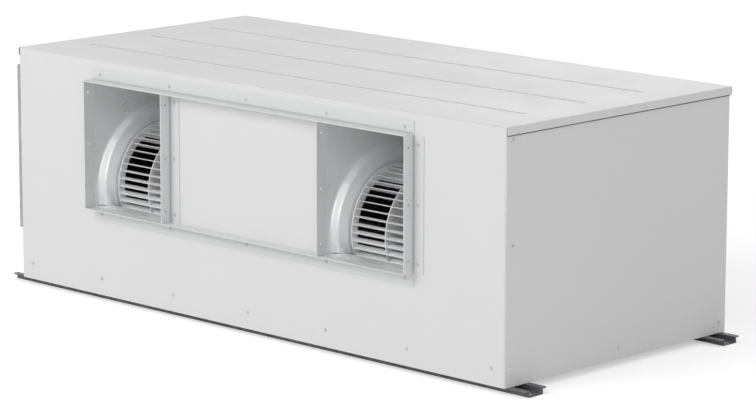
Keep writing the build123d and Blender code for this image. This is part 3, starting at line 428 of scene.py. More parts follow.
@dataclass(frozen=True)
class PowderCoat(Finish):
    """Baked powder coat: orange peel, a faint cloud in its tone, painted shade in its creases and a little
    dust.
    """

    CLOUD_SCALE = 5.0
    PEEL_SCALE = 700.0
    # Samples and occlusion range of the painted crease shade
    CREASE_SAMPLES = 12
    CREASE_FROM = 0.55
    CREASE_TO = 0.92

    peel: float = 0.00004
    dust: float = 0.04
    cloud: float = 0.02
    # How far the painted crease shade reaches to nearby faces, and how dark it gets
    crease_reach: float = 7.0 * MM
    crease_shade: float = 0.28

    def dress(self, graph: Graph, shader: bpy.types.Node, effects: Effects) -> None:
        """Join cloud, painted crease shade, dust and orange peel.

        Args:
            graph: The material's graph.
            shader: The material's Principled node.
            effects: The shared groups.
        """
        mottle = self.cloudy(graph, effects, self.CLOUD_SCALE, self.cloud)
        # Painted shade: an occlusion node darkens the colour in creases, bead grooves and inside corners,
        # down to crease_shade
        corner = graph.add(
            "AmbientOcclusion", {"Distance": self.crease_reach}, samples=self.CREASE_SAMPLES, only_local=True
        )
        lit = graph.span(corner.outputs["AO"], self.CREASE_FROM, self.CREASE_TO, self.crease_shade, 1.0)
        crease_shaded_colour = graph.blend(1.0, mottle.outputs["Color"], graph.grey(lit), "MULTIPLY")
        dust = self.group(graph, effects, GroupName.DUST, Color=crease_shaded_colour, Amount=self.dust)
        grain = self.group(graph, effects, GroupName.GRAIN, Scale=self.PEEL_SCALE, Height=self.peel)
        rough = self.rougher(graph, mottle.outputs["Cloud"], down=0.05, up=0.07)
        graph.put(shader, "Base Color", dust.outputs["Color"])
        graph.put(shader, "Roughness", graph.maths("ADD", rough, dust.outputs["Mask"]))
        graph.put(shader, "Normal", grain.outputs["Normal"])


@dataclass(frozen=True)
class Galvanised(Finish):
    """Hot-dip zinc: spangle, rolling lines and dull patches."""

    CLOUD_SCALE = 11.0
    CLOUD_ROUGHNESS = 0.10
    LINE_SCALE = 900.0
    LINE_HEIGHT = 0.000004

    spangle_scale: float = 110.0
    contrast: float = 0.22
    dull: float = 0.15
    sparkle: float = 0.14
    lay: Lay = Lay.ALONG_X

    def dress(self, graph: Graph, shader: bpy.types.Node, effects: Effects) -> None:
        """Join spangle, clouds and rolling lines.

        Args:
            graph: The material's graph.
            shader: The material's Principled node.
            effects: The shared groups.
        """
        spangle = self.group(
            graph, effects, GroupName.SPANGLE,
            Color=self.paint, Scale=self.spangle_scale, Contrast=self.contrast,
        )
        mottle = self.group(
            graph, effects, GroupName.MOTTLE,
            Color=spangle.outputs["Color"], Scale=self.CLOUD_SCALE, Amount=self.dull,
        )
        lines = self.group(
            graph, effects, GroupName.BRUSHING,
            Stretch=self.lay.value, Scale=self.LINE_SCALE, Height=self.LINE_HEIGHT,
        )
        shine = self.rougher(graph, spangle.outputs["Shine"], down=0.0, up=self.sparkle)
        cloud = graph.maths("MULTIPLY", mottle.outputs["Cloud"], self.CLOUD_ROUGHNESS)
        graph.put(shader, "Base Color", mottle.outputs["Color"])
        graph.put(shader, "Roughness", graph.maths("ADD", shine, cloud))
        graph.put(shader, "Normal", lines.outputs["Normal"])


@dataclass(frozen=True)
class Drawn(Finish):
    """Metal with the fine lines of turning, drawing or rolling, darker where it has aged."""

    CLOUD_SCALE = 26.0
    CLOUD_DEPTH = 0.12
    LINE_SCALE = 1400.0
    SMOOTHER = 0.08
    ROUGHER = 0.12

    aged: Colour = (0.3, 0.3, 0.3)
    age: float = 0.4
    lay: Lay = Lay.AROUND_X
    lines: float = 0.00002

    def dress(self, graph: Graph, shader: bpy.types.Node, effects: Effects) -> None:
        """Join ageing and lines.

        Args:
            graph: The material's graph.
            shader: The material's Principled node.
            effects: The shared groups.
        """
        mottle = self.cloudy(graph, effects, self.CLOUD_SCALE, self.CLOUD_DEPTH)
        lines = self.group(
            graph, effects, GroupName.BRUSHING,
            Stretch=self.lay.value, Scale=self.LINE_SCALE, Height=self.lines,
        )
        amount = graph.maths("MULTIPLY", mottle.outputs["Cloud"], self.age)
        colour = graph.blend(amount, mottle.outputs["Color"], (*self.aged, 1.0))
        low, high = self.roughness - self.SMOOTHER, self.roughness + self.ROUGHER
        rough = graph.span(lines.outputs["Lines"], 0.3, 0.7, low, high)
        graph.put(shader, "Base Color", colour)
        graph.put(shader, "Roughness", rough)
        graph.put(shader, "Normal", lines.outputs["Normal"])


@dataclass(frozen=True)
class Laminated(Finish):
    """A stack of thin plates, seen as even bands across the stack."""

    CLOUD_SCALE = 20.0
    CLOUD_DEPTH = 0.3
    BAND_SHADE = 0.35
    BAND_AMOUNT = 0.8

    pitch: float = 0.0005
    stack: str = "X"

    def dress(self, graph: Graph, shader: bpy.types.Node, effects: Effects) -> None:
        """Join the bands and a cloud.

        Args:
            graph: The material's graph.
            shader: The material's Principled node.
            effects: The shared groups.
        """
        place = graph.add("TexCoord").outputs["Object"]
        along = graph.add("SeparateXYZ", {0: place}).outputs[self.stack]
        phase = graph.maths("FRACT", graph.maths("MULTIPLY", along, 1.0 / self.pitch))
        band = graph.span(graph.maths("PINGPONG", phase, 0.5), 0.05, 0.2, self.BAND_SHADE, 1.0)
        mottle = self.cloudy(graph, effects, self.CLOUD_SCALE, self.CLOUD_DEPTH)
        colour = graph.blend(self.BAND_AMOUNT, mottle.outputs["Color"], graph.grey(band), "MULTIPLY")
        rough = self.rougher(graph, mottle.outputs["Cloud"], down=0.05, up=0.1)
        graph.put(shader, "Base Color", colour)
        graph.put(shader, "Roughness", rough)


@dataclass(frozen=True)
class Moulded(Finish):
    """Moulded plastic or rubber: a fine skin, a soft cloud and dust where it looks up."""

    CLOUD_SCALE = 30.0
    CLOUD_DEPTH = 0.15

    skin: float = 0.00005
    skin_scale: float = 1500.0
    dust: float = 0.12

    def dress(self, graph: Graph, shader: bpy.types.Node, effects: Effects) -> None:
        """Join cloud, dust and skin.

        Args:
            graph: The material's graph.
            shader: The material's Principled node.
            effects: The shared groups.
        """
        mottle = self.cloudy(graph, effects, self.CLOUD_SCALE, self.CLOUD_DEPTH)
        dust = self.group(graph, effects, GroupName.DUST, Color=mottle.outputs["Color"], Amount=self.dust)
        grain = self.group(graph, effects, GroupName.GRAIN, Scale=self.skin_scale, Height=self.skin)
        rough = self.rougher(graph, mottle.outputs["Cloud"], down=0.06, up=0.08)
        graph.put(shader, "Base Color", dust.outputs["Color"])
        graph.put(shader, "Roughness", rough)
        graph.put(shader, "Normal", grain.outputs["Normal"])


@dataclass(frozen=True)
class Cellular(Finish):
    """Closed-cell foam: small open pores, darkened with painted shade, over a soft cloud."""

    CLOUD_SCALE = 12.0
    CLOUD_DEPTH = 0.3
    PORE_SHADE_COLOUR = (0.02, 0.02, 0.02, 1.0)
    PORE_DEPTH = 0.0004

    pore_scale: float = 420.0

    def dress(self, graph: Graph, shader: bpy.types.Node, effects: Effects) -> None:
        """Join pores, with painted shade in them, and cloud.

        Args:
            graph: The material's graph.
            shader: The material's Principled node.
            effects: The shared groups.
        """
        place = graph.add("TexCoord").outputs["Object"]
        pores = graph.add("TexVoronoi", {"Vector": place, "Scale": self.pore_scale}).outputs["Distance"]
        wall = graph.span(pores, 0.1, 0.6, 0.0, 1.0)
        mottle = self.cloudy(graph, effects, self.CLOUD_SCALE, self.CLOUD_DEPTH)
        # Painted shade: the pore hollows are mixed towards a near-black colour
        lit = graph.blend(wall, self.PORE_SHADE_COLOUR, mottle.outputs["Color"])
        height = graph.maths("MULTIPLY", wall, self.PORE_DEPTH)
        bump = graph.add("Bump", {"Height": height, "Strength": 1.0, "Distance": 1.0})
        graph.put(shader, "Base Color", lit)
        graph.put(shader, "Normal", bump.outputs[0])


@dataclass(frozen=True)
class PrintedBoard(Finish):
    """Lacquered circuit board: straight tracks in a lighter green, with tinned pads."""

    TRACK_COLOUR = (0.10, 0.36, 0.20, 1.0)
    PAD_COLOUR = (0.62, 0.62, 0.58, 1.0)
    TRACKS_PER_CELL = 5.0
    PAD_SHARE = 0.9
    TRACK_ROUGHER = 0.1

    track_scale: float = 210.0

    def dress(self, graph: Graph, shader: bpy.types.Node, effects: Effects) -> None:
        """Join tracks and pads.

        Args:
            graph: The material's graph.
            shader: The material's Principled node.
            effects: The shared groups; not used here.
        """
        place = graph.add("TexCoord").outputs["Object"]
        flat = graph.add("VectorMath", {0: place, 1: (0.0, 1.0, 1.0)}, operation="MULTIPLY").outputs[0]
        blocks = graph.add(
            "TexVoronoi", {"Vector": flat, "Scale": self.track_scale}, distance="CHEBYCHEV", feature="F1"
        )
        spread = graph.maths("MULTIPLY", blocks.outputs["Distance"], self.TRACKS_PER_CELL)
        track = graph.span(graph.maths("FRACT", spread), 0.45, 0.55, 0.0, 1.0)
        colour = graph.blend(track, self.paint, self.TRACK_COLOUR)
        pad_scale = self.track_scale * self.PAD_SHARE
        pads = graph.add("TexVoronoi", {"Vector": flat, "Scale": pad_scale}).outputs["Distance"]
        pad = graph.span(pads, 0.10, 0.16, 1.0, 0.0)
        graph.put(shader, "Base Color", graph.blend(pad, colour, self.PAD_COLOUR))
        graph.put(shader, "Roughness", self.rougher(graph, track, down=0.0, up=self.TRACK_ROUGHER))


@dataclass(frozen=True)
class Woven(Finish):
    """Plastic yarn of the filter net: a little lighter and darker along its length."""

    CLOUD_SCALE = 60.0
    CLOUD_DEPTH = 0.4
    YARN_SCALE = 2400.0
    YARN_HEIGHT = 0.00003

    def dress(self, graph: Graph, shader: bpy.types.Node, effects: Effects) -> None:
        """Join a fine cloud and a fine skin.

        Args:
            graph: The material's graph.
            shader: The material's Principled node.
            effects: The shared groups.
        """
        mottle = self.cloudy(graph, effects, self.CLOUD_SCALE, self.CLOUD_DEPTH)
        grain = self.group(graph, effects, GroupName.GRAIN, Scale=self.YARN_SCALE, Height=self.YARN_HEIGHT)
        rough = self.rougher(graph, mottle.outputs["Cloud"], down=0.1, up=0.1)
        graph.put(shader, "Base Color", mottle.outputs["Color"])
        graph.put(shader, "Roughness", rough)
        graph.put(shader, "Normal", grain.outputs["Normal"])


FINISHES: dict[str, Finish] = {
    "white_enamel": PowderCoat("white_enamel", (0.80, 0.80, 0.805), 0.42),
    "white_angle": PowderCoat("white_angle", (0.76, 0.765, 0.77), 0.40, dust=0.08, crease_shade=0.75),
    "galvanised_sheet": Galvanised(
        "galvanised_sheet", (0.975, 0.98, 0.985), 0.17, 0.34, contrast=0.02, dull=0.02, sparkle=0.02
    ),
    "box_zinc": Galvanised("box_zinc", (0.50, 0.505, 0.515), 0.40, 0.6, contrast=0.14, dull=0.12),
    "rail_zinc": Galvanised("rail_zinc", (0.22, 0.223, 0.23), 0.46, 0.8, contrast=0.3),
    "wheel_zinc": Galvanised("wheel_zinc", (0.93, 0.935, 0.94), 0.30, 0.30, 160.0, 0.06, 0.04),
    "machined_steel": Drawn("machined_steel", (0.56, 0.56, 0.57), 0.28, 1.0),
    "motor_paint": PowderCoat("motor_paint", (0.09, 0.10, 0.11), 0.38, peel=0.00008, dust=0.35, cloud=0.2),
    "cast_alloy": Moulded("cast_alloy", (0.56, 0.56, 0.57), 0.48, 0.85, 0.00025, 900.0, 0.2),
    "lamination": Laminated("lamination", (0.20, 0.20, 0.21), 0.45, 0.8),
    "fin_aluminium": Drawn(
        "fin_aluminium", (0.80, 0.82, 0.84), 0.30, 0.9, (0.6, 0.62, 0.64), 0.3, Lay.ALONG_Z
    ),
    "copper": Drawn("copper", (0.78, 0.42, 0.28), 0.26, 1.0, (0.34, 0.17, 0.11), 0.7, Lay.EVEN),
    "black_rubber": Moulded("black_rubber", (0.025, 0.025, 0.026), 0.72),
    "pan_plastic": Moulded("pan_plastic", (0.16, 0.17, 0.18), 0.5),
    "spigot_plastic": Moulded("spigot_plastic", (0.72, 0.72, 0.70), 0.42),
    "filter_frame": Moulded("filter_frame", (0.10, 0.11, 0.125), 0.48),
    "filter_cloth": Woven("filter_cloth", (0.12, 0.135, 0.155), 0.55),
    "circuit_green": PrintedBoard("circuit_green", (0.03, 0.17, 0.09), 0.28),
    "terminal_plastic": Moulded("terminal_plastic", (0.66, 0.65, 0.58), 0.4),
    "capacitor_can": Drawn("capacitor_can", (0.70, 0.70, 0.71), 0.25, 1.0, lay=Lay.ALONG_Z),
    "gland_plastic": Moulded("gland_plastic", (0.05, 0.05, 0.055), 0.45),
    "screw_zinc": Drawn("screw_zinc", (0.78, 0.785, 0.79), 0.36, 0.5, (0.6, 0.6, 0.6), lay=Lay.EVEN),
    "foam": Cellular("foam", (0.07, 0.07, 0.075), 0.9),
}


@dataclass
class Wardrobe:
    """All the finishes as materials, found by their slot name."""

    effects: Effects
    materials: dict[str, bpy.types.Material] = field(default_factory=dict)

    def get(self, slot: str) -> bpy.types.Material:
        """The material of a slot, made when it is first asked for.

        Args:
            slot: The slot's name.

        Returns:
            Its material.
        """
        if slot not in self.materials:
            self.materials[slot] = FINISHES[slot].make(self.effects)
        return self.materials[slot]


@dataclass
class Mesher:
    """Collects whole arrays of points and faces, and makes them one mesh object."""

    points: list[np.ndarray] = field(default_factory=list)
    faces: list[np.ndarray] = field(default_factory=list)
    count: int = 0

    def put(self, points: np.ndarray, faces: np.ndarray) -> None:
        """Add points and the faces between them.

        Args:
            points: An (n, 3) array in metres.
            faces: An (m, 4) array of quads, numbered from this call's first point.
        """
        self.points.append(points.reshape(-1, 3))
        self.faces.append(faces + self.count)
        self.count += len(self.points[-1])

    def extrusions(self, outline: np.ndarray, starts: np.ndarray, run: np.ndarray) -> None:
        """Many copies of one outline, each pushed along the same run and closed at both ends.

        Point (i, k, e) is starts[i] + outline[k] + e * run with e = 0 or 1. The outline is a strip of
        2n points, n along one side and n back along the other, so its ends close with n - 1 quads.

        Args:
            outline: A (2n, 3) array, counter-clockwise about the run.
            starts: An (m, 3) array of places.
            run: The vector that the outline is pushed along.
        """
        size = len(outline)
        half = size // 2
        ends = np.array([0.0, 1.0])[:, None, None] * run
        grid = starts[:, None, None, :] + outline[None, None] + ends[None]
        step = np.arange(size)
        after = (step + 1) % size
        sides = np.stack([step, after, after + size, step + size], 1)
        near = np.arange(half - 1)
        low = np.stack([near + 1, near, size - 1 - near, size - 2 - near], 1)
        high = np.stack([near, near + 1, size - 2 - near, size - 1 - near], 1) + size
        one = np.concatenate([sides, low, high])
        shift = np.arange(len(starts))[:, None, None] * 2 * size
        self.put(grid, (one[None] + shift).reshape(-1, 4))

    def boxes(self, lows: np.ndarray, sizes: np.ndarray) -> None:
        """Many upright boxes.

        Args:
            lows: An (m, 3) array of lowest corners.
            sizes: An (m, 3) array of sizes.
        """
        base = np.array([[0, 0, 0], [1, 0, 0], [1, 1, 0], [0, 1, 0]])
        unit = np.concatenate([base, base + np.array([0, 0, 1])])
        grid = lows[:, None, :] + unit[None] * sizes[:, None, :]
        one = np.array([[0, 3, 2, 1], [4, 5, 6, 7], [0, 1, 5, 4], [1, 2, 6, 5], [2, 3, 7, 6], [3, 0, 4, 7]])
        shift = np.arange(len(lows))[:, None, None] * len(unit)
        self.put(grid, (one[None] + shift).reshape(-1, 4))

    def turned(self, profile: np.ndarray, centres: np.ndarray, axis: int, sides: int) -> None:
        """Many copies of one profile turned about an axis of the frame.

        Point (i, j, k) is centres[i] plus profile[j, 1] along the axis plus profile[j, 0] times
        (cos a, sin a) across it, with a = 2 pi k / sides. The profile starts and ends near radius 0.

        Args:
            profile: An (n, 2) array of radius and height, rising for an outward surface.
            centres: An (m, 3) array of places.
            axis: 0, 1 or 2 for X, Y or Z.
            sides: Points around.
        """
        angle = np.arange(sides) * 2 * np.pi / sides
        first, second = (axis + 1) % 3, (axis + 2) % 3
        shape = np.zeros((len(profile), sides, 3))
        shape[:, :, axis] = profile[:, 1:2]
        shape[:, :, first] = profile[:, 0:1] * np.cos(angle)
        shape[:, :, second] = profile[:, 0:1] * np.sin(angle)
        grid = centres[:, None, None, :] + shape[None]
        j, k = np.meshgrid(np.arange(len(profile) - 1), np.arange(sides), indexing="ij")
        after = (k + 1) % sides
        one = np.stack([j * sides + k, j * sides + after, (j + 1) * sides + after, (j + 1) * sides + k], -1)
        shift = np.arange(len(centres))[:, None, None] * len(profile) * sides
        self.put(grid, (one.reshape(1, -1, 4) + shift).reshape(-1, 4))

    def make(self, name: str, material: bpy.types.Material, smooth: bool = False) -> bpy.types.Object:
        """Make the object.

        Args:
            name: Its name.
            material: Its material.
            smooth: Whether its faces are shaded smooth.

        Returns:
            The new object, at the origin with its place in its mesh.
        """
        mesh = bpy.data.meshes.new(name)
        mesh.from_pydata(np.concatenate(self.points), [], np.concatenate(self.faces))
        mesh.polygons.foreach_set("use_smooth", np.full(len(mesh.polygons), smooth))
        mesh.update()
        mesh.validate()
        mesh.materials.append(material)
        piece = bpy.data.objects.new(name, mesh)
        bpy.context.scene.collection.objects.link(piece)
        return piece


def edges_of(node: str) -> tuple[np.ndarray, np.ndarray]:
    """Lowest and highest corner of a CAD node.

    Args:
        node: The node's name.

    Returns:
        Two arrays of three numbers, in metres.
    """
    low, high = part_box(node)
    return np.array(low), np.array(high)


@dataclass
class CoilFins:
    """The coil's wavy fins on their straight tubes, in place of the solid fin pack."""

    pitch: float = 2.4 * MM
    thickness: float = 0.16 * MM
    wave: float = 0.45 * MM
    waves: int = 4
    rows: int = 4
    tubes_per_row: int = 16
    tube_radius: float = 4.8 * MM
    tube_sides: int = 14
    stations_per_wave: int = 4

    def fins(self, wardrobe: Wardrobe) -> bpy.types.Object:
        """One strip per fin: x = x0 + wave * sin(2 pi waves v) at depth v, both faces, pushed up in Z.

        Args:
            wardrobe: The finishes.

        Returns:
            The fins as one object.
        """
        low, high = edges_of("coil_fin_pack")
        stations = np.linspace(0.0, 1.0, self.stations_per_wave * self.waves + 1)
        along = (high[1] - low[1]) * stations
        across = self.wave * np.sin(2 * np.pi * self.waves * stations)
        front = np.stack([across + self.thickness / 2, along, np.zeros_like(along)], 1)
        back = np.stack([across - self.thickness / 2, along, np.zeros_like(along)], 1)[::-1]
        margin = self.wave + self.thickness
        starts_x = np.arange(low[0] + margin, high[0] - margin, self.pitch)
        starts = np.stack([starts_x, np.full_like(starts_x, low[1]), np.full_like(starts_x, low[2])], 1)
        mesher = Mesher()
        mesher.extrusions(np.concatenate([front, back]), starts, np.array([0.0, 0.0, high[2] - low[2]]))
        return mesher.make("coil_fins", wardrobe.get("fin_aluminium"))

    def tubes(self, wardrobe: Wardrobe) -> bpy.types.Object:
        """Straight tubes on an even grid: y at the middle of each row, z at the middle of each pitch.

        Args:
            wardrobe: The finishes.

        Returns:
            The tubes as one object.
        """
        low, high = edges_of("coil_fin_pack")
        y = low[1] + (np.arange(self.rows) + 0.5) * (high[1] - low[1]) / self.rows
        z = low[2] + (np.arange(self.tubes_per_row) + 0.5) * (high[2] - low[2]) / self.tubes_per_row
        grid_y, grid_z = np.meshgrid(y, z, indexing="ij")
        centres = np.stack([np.full(grid_y.size, low[0]), grid_y.ravel(), grid_z.ravel()], 1)
        shape = np.array([[NEAR_AXIS, 0.0], [1.0, 0.0], [1.0, 1.0], [NEAR_AXIS, 1.0]])
        profile = shape * np.array([self.tube_radius, high[0] - low[0]])
        mesher = Mesher()
        mesher.turned(profile, centres, 0, self.tube_sides)
        return mesher.make("coil_tubes", wardrobe.get("copper"), True)

    def build(self, wardrobe: Wardrobe) -> None:
        """Make fins and tubes, and hide the solid pack.

        Args:
            wardrobe: The finishes.
        """
        fins = self.fins(wardrobe)
        tubes = self.tubes(wardrobe)
        for piece, slot in ((fins, "fin_aluminium"), (tubes, "copper")):
            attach(piece, "casing")
        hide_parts("coil_fin_pack")
        log.info("coil fins: %d faces, tubes: %d faces", len(fins.data.polygons), len(tubes.data.polygons))


@dataclass
class FilterNet:
    """The net of one filter, with the ribs that hold it, in place of the plain sheet."""

    side: Side
    pitch: float = 2.6 * MM
    yarn: float = 0.5 * MM
    rib: float = 2.4 * MM
    rib_spacing: float = 82.0 * MM
    rib_proud: float = 1.0 * MM

    @property
    def label(self) -> str:
        """The side as a word."""
        return self.side.name.lower()

    def net(self, wardrobe: Wardrobe) -> bpy.types.Object:
        """Two layers of straight yarns, one upright and one across, each a bar of square section.

        Args:
            wardrobe: The finishes.

        Returns:
            The net as one object.
        """
        low, high = edges_of(f"{self.label}_filter_mesh")
        middle = (low[1] + high[1]) / 2
        x = np.arange(low[0], high[0] - self.yarn, self.pitch)
        z = np.arange(low[2], high[2] - self.yarn, self.pitch)
        upright_low = np.stack([x, np.full_like(x, middle), np.full_like(x, low[2])], 1)
        upright_size = np.tile([self.yarn, self.yarn, high[2] - low[2]], (len(x), 1))
        across_low = np.stack([np.full_like(z, low[0]), np.full_like(z, middle - self.yarn), z], 1)
        across_size = np.tile([high[0] - low[0], self.yarn, self.yarn], (len(z), 1))
        mesher = Mesher()
        mesher.boxes(upright_low, upright_size)
        mesher.boxes(across_low, across_size)
        return mesher.make(f"{self.label}_filter_net", wardrobe.get("filter_cloth"))

    def ribs(self, wardrobe: Wardrobe) -> bpy.types.Object:
        """Ribs on an even grid over the net's rear face.

        Args:
            wardrobe: The finishes.

        Returns:
            The ribs as one object.
        """
        low, high = edges_of(f"{self.label}_filter_mesh")
        back = (low[1] + high[1]) / 2 + self.yarn
        columns = max(2, round((high[0] - low[0]) / self.rib_spacing))
        rows = max(2, round((high[2] - low[2]) / self.rib_spacing))
        x = low[0] + (high[0] - low[0]) * np.arange(1, columns) / columns - self.rib / 2
        z = low[2] + (high[2] - low[2]) * np.arange(1, rows) / rows - self.rib / 2
        upright = np.stack([x, np.full_like(x, back), np.full_like(x, low[2])], 1)
        across = np.stack([np.full_like(z, low[0]), np.full_like(z, back), z], 1)
        depth = high[1] - back + self.rib_proud
        mesher = Mesher()
        mesher.boxes(upright, np.tile([self.rib, depth, high[2] - low[2]], (len(x), 1)))
        mesher.boxes(across, np.tile([high[0] - low[0], depth, self.rib], (len(z), 1)))
        return mesher.make(f"{self.label}_filter_ribs", wardrobe.get("filter_frame"))

    def build(self, wardrobe: Wardrobe) -> None:
        """Make net and ribs, and hide the plain sheet.

        Args:
            wardrobe: The finishes.
        """
        net = self.net(wardrobe)
        ribs = self.ribs(wardrobe)
        for piece, slot in ((net, "filter_cloth"), (ribs, "filter_frame")):
            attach(piece, f"{self.label}_filter")
        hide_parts(f"{self.label}_filter_mesh")
        log.info("%s filter net: %d faces", self.label, len(net.data.polygons))


@dataclass
class BoardParts:
    """Small parts on the control board: cans, chips and plugs that the CAD board leaves out."""

    can_radius: float = 5.0 * MM
    can_height: float = 12.0 * MM
    can_sides: int = 28
    can_column: float = 0.42
    can_rows: tuple[float, ...] = (0.14, 0.86)
    chip: Place = (2.2 * MM, 14.0 * MM, 9.0 * MM)
    chip_column: float = 0.08
    chip_rows: tuple[float, ...] = (0.20, 0.62, 0.76)
    plug: Place = (9.0 * MM, 12.0 * MM, 6.0 * MM)
    plug_columns: tuple[float, ...] = (0.12, 0.32, 0.52, 0.72)
    plug_rise: float = 3.0 * MM
    board_rise: float = 9.6 * MM
    soft_edge: float = 0.4 * MM

    def cans(self, wardrobe: Wardrobe, face: float, low: np.ndarray, high: np.ndarray) -> bpy.types.Object:
        """A column of capacitors: radius as a function of height, with a rolled top and a groove.

        Args:
            wardrobe: The finishes.
            face: The board's face along X.
            low: The board's lowest corner.
            high: Its highest corner.

        Returns:
            The capacitors as one object.
        """
        top = [[NEAR_AXIS, -1.0], [0.9, -1.0], [1.0, -0.95]]
        groove = [[1.0, -0.25], [0.92, -0.2], [1.0, -0.15]]
        foot = [[1.0, 0.0], [NEAR_AXIS, 0.0]]
        profile = np.array(top + groove + foot) * np.array([self.can_radius, self.can_height])
        z = low[2] + (high[2] - low[2]) * np.array(self.can_rows)
        y = np.full_like(z, low[1] + self.can_column * (high[1] - low[1]))
        centres = np.stack([np.full_like(z, face), y, z], 1)
        mesher = Mesher()
        mesher.turned(profile, centres, 0, self.can_sides)
        return mesher.make("board_capacitors", wardrobe.get("capacitor_can"), True)

    def blocks(
        self, wardrobe: Wardrobe, name: str, slot: str, size: Place, corners: np.ndarray
    ) -> bpy.types.Object:
        """Boxes of one size with softened edges.

        Args:
            wardrobe: The finishes.
            name: The object's name.
            slot: Its finish.
            size: Size along X, Y and Z.
            corners: An (m, 3) array of lowest corners.

        Returns:
            The boxes as one object.
        """
        mesher = Mesher()
        mesher.boxes(corners, np.tile(size, (len(corners), 1)))
        piece = mesher.make(name, wardrobe.get(slot))
        bevel = piece.modifiers.new("softened_edges", "BEVEL")
        bevel.width = self.soft_edge
        bevel.segments = 2
        return piece

    def build(self, wardrobe: Wardrobe) -> None:
        """Make the small parts and fix them to the casing's body.

        Args:
            wardrobe: The finishes.
        """
        low, high = edges_of("control_board")
        face = high[0] - self.board_rise
        span_y, span_z = high[1] - low[1], high[2] - low[2]
        cans = self.cans(wardrobe, face, low, high)
        chip_z = low[2] + span_z * np.array(self.chip_rows)
        chip_y = np.full_like(chip_z, low[1] + self.chip_column * span_y)
        chips = np.stack([np.full_like(chip_z, face - self.chip[0]), chip_y, chip_z], 1)
        plug_y = low[1] + span_y * np.array(self.plug_columns)
        plug_z = np.full_like(plug_y, low[2] + self.plug_rise)
        plugs = np.stack([np.full_like(plug_y, face - self.plug[0]), plug_y, plug_z], 1)
        chip_piece = self.blocks(wardrobe, "board_chips", "gland_plastic", self.chip, chips)
        plug_piece = self.blocks(wardrobe, "board_plugs", "terminal_plastic", self.plug, plugs)
        dressed = ((cans, "capacitor_can"), (chip_piece, "gland_plastic"), (plug_piece, "terminal_plastic"))
        for piece, slot in dressed:
            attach(piece, "casing")
        log.info("board parts: 3 pieces")


@dataclass
class CadFrame:
    """The CAD nodes, each given its finish."""

    frame: dict

    def build(self, wardrobe: Wardrobe) -> None:
        """Put each node's slot finish on its object.

        Args:
            wardrobe: The finishes.
        """
        for part in self.frame["record"]["subparts"]:
            mesh = self.frame["nodes"][part["node"]].data
            material = wardrobe.get(part["material_slot"])
            mesh.materials.clear()
            mesh.materials.append(material)


@dataclass(frozen=True)
class Lamp:
    """One soft square lamp: where it hangs, the point that it faces, its side and its watts."""

    name: str
    place: Place
    aim: Place
    side: float
    power: float

    def hang(self) -> None:
        """Put the lamp into the scene."""
        data = bpy.data.lights.new(self.name, "AREA")
        data.size = self.side
        data.energy = self.power
        lamp = bpy.data.objects.new(self.name, data)
        lamp.location = self.place
        direction = Vector(self.aim) - Vector(self.place)
        lamp.rotation_euler = direction.to_track_quat("-Z", "Y").to_euler()
        bpy.context.scene.collection.objects.link(lamp)


LAMPS: tuple[Lamp, ...] = (
    Lamp("key_light", (-1.6, -5.2, 3.6), (0.0, -0.2, 0.2), 3.2, 130.0),
    Lamp("outlet_light", (4.6, -4.2, 1.5), (0.0, -0.2, 0.25), 3.0, 26.0),
    Lamp("side_light", (5.5, 1.0, 2.2), (0.3, 0.0, 0.2), 3.0, 8.0),
    Lamp("rear_light", (-3.0, 5.5, 3.0), (0.0, 0.0, 0.25), 3.0, 30.0),
)


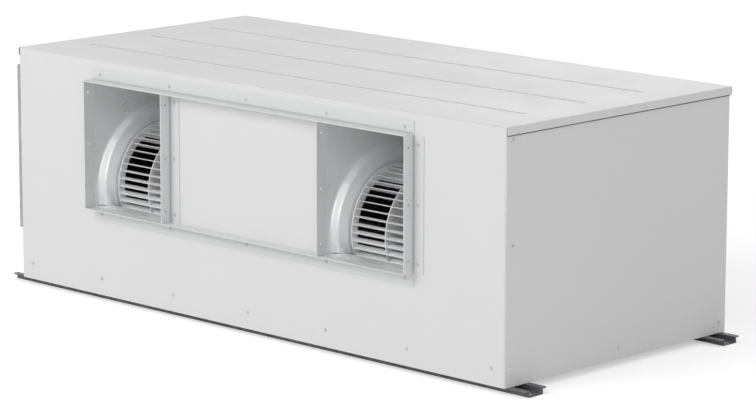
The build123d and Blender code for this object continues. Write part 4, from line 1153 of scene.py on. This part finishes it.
@dataclass
class Studio:
    """Floor, soft lights, white surroundings and the camera of the photograph."""

    camera_place: Place = (4.97210, -5.08022, 1.63842)
    azimuth: float = 44.126
    elevation: float = 11.233
    roll: float = 0.127
    lens: float = 166.45
    sensor: float = 36.0
    nearest: float = 0.05
    farthest: float = 200.0
    ambient: float = 0.54
    floor_half: float = 40.0
    floor_scale: float = 0.6
    floor_shades: tuple[float, float] = (0.90, 0.92)
    floor_glow: float = 0.42

    def floor(self) -> None:
        """A wide pale floor that keeps the shadow and is white to the camera."""
        half = self.floor_half
        corners = [(-half, -half, 0), (half, -half, 0), (half, half, 0), (-half, half, 0)]
        mesh = bpy.data.meshes.new("floor")
        mesh.from_pydata(corners, [], [(0, 1, 2, 3)])
        material = bpy.data.materials.new("studio_floor")
        material.use_nodes = True
        graph = Graph(material.node_tree)
        shader = material.node_tree.nodes["Principled BSDF"]
        shader.inputs["Roughness"].default_value = 1.0
        shader.inputs["Specular IOR Level"].default_value = 0.0
        place = graph.add("TexCoord").outputs["Object"]
        shade = graph.span(graph.noise(place, self.floor_scale), 0.3, 0.7, *self.floor_shades)
        graph.put(shader, "Base Color", graph.grey(shade))
        shader.inputs["Emission Color"].default_value = (1.0, 1.0, 1.0, 1.0)
        seen = graph.add("LightPath").outputs["Is Camera Ray"]
        graph.put(shader, "Emission Strength", graph.maths("MULTIPLY", seen, self.floor_glow))
        mesh.materials.append(material)
        floor = bpy.data.objects.new("floor", mesh)
        bpy.context.scene.collection.objects.link(floor)

    def world(self) -> None:
        """White to camera, glossy and transmitted rays, and a plain soft level for the rest."""
        world = bpy.data.worlds.new("studio")
        bpy.context.scene.world = world
        world.use_nodes = True
        graph = Graph(world.node_tree)
        background = world.node_tree.nodes["Background"]
        path = graph.add("LightPath")
        seen = graph.maths("MAXIMUM", path.outputs["Is Camera Ray"], path.outputs["Is Transmission Ray"])
        seen = graph.maths("MAXIMUM", seen, path.outputs["Is Glossy Ray"])
        graph.put(background, "Strength", graph.span(seen, 0.0, 1.0, self.ambient, 1.0))
        background.inputs["Color"].default_value = (1.0, 1.0, 1.0, 1.0)

    def camera(self) -> None:
        """The photograph's camera: place, direction, a slight roll and its long lens."""
        turn, rise, lean = (math.radians(a) for a in (self.azimuth, self.elevation, self.roll))
        back = Vector((math.sin(turn) * math.cos(rise), -math.cos(turn) * math.cos(rise), math.sin(rise)))
        right = Vector((math.cos(turn), math.sin(turn), 0.0))
        up = back.cross(right)
        tilted_right = math.cos(lean) * right + math.sin(lean) * up
        tilted_up = math.cos(lean) * up - math.sin(lean) * right
        data = bpy.data.cameras.new("photo_camera")
        data.lens = self.lens
        data.sensor_width = self.sensor
        data.clip_start = self.nearest
        data.clip_end = self.farthest
        camera = bpy.data.objects.new("photo_camera", data)
        axes = Matrix((tilted_right, tilted_up, back)).transposed().to_4x4()
        camera.matrix_world = Matrix.Translation(self.camera_place) @ axes
        bpy.context.scene.collection.objects.link(camera)
        bpy.context.scene.camera = camera

    def build(self) -> None:
        """Set up the whole studio."""
        self.floor()
        self.world()
        for lamp in LAMPS:
            lamp.hang()
        self.camera()
        bpy.context.scene.view_settings.view_transform = "Standard"
        log.info("studio ready")


def main() -> None:
    """Build the studio, dress the CAD nodes and add the finer pieces."""
    logging.basicConfig(level=logging.INFO, format="%(name)s: %(message)s")
    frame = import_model()
    wardrobe = Wardrobe(Effects().build())
    Studio().build()
    CadFrame(frame).build(wardrobe)
    CoilFins().build(wardrobe)
    for side in Side:
        FilterNet(side).build(wardrobe)
    BoardParts().build(wardrobe)


if __name__ == "__main__":
    main()
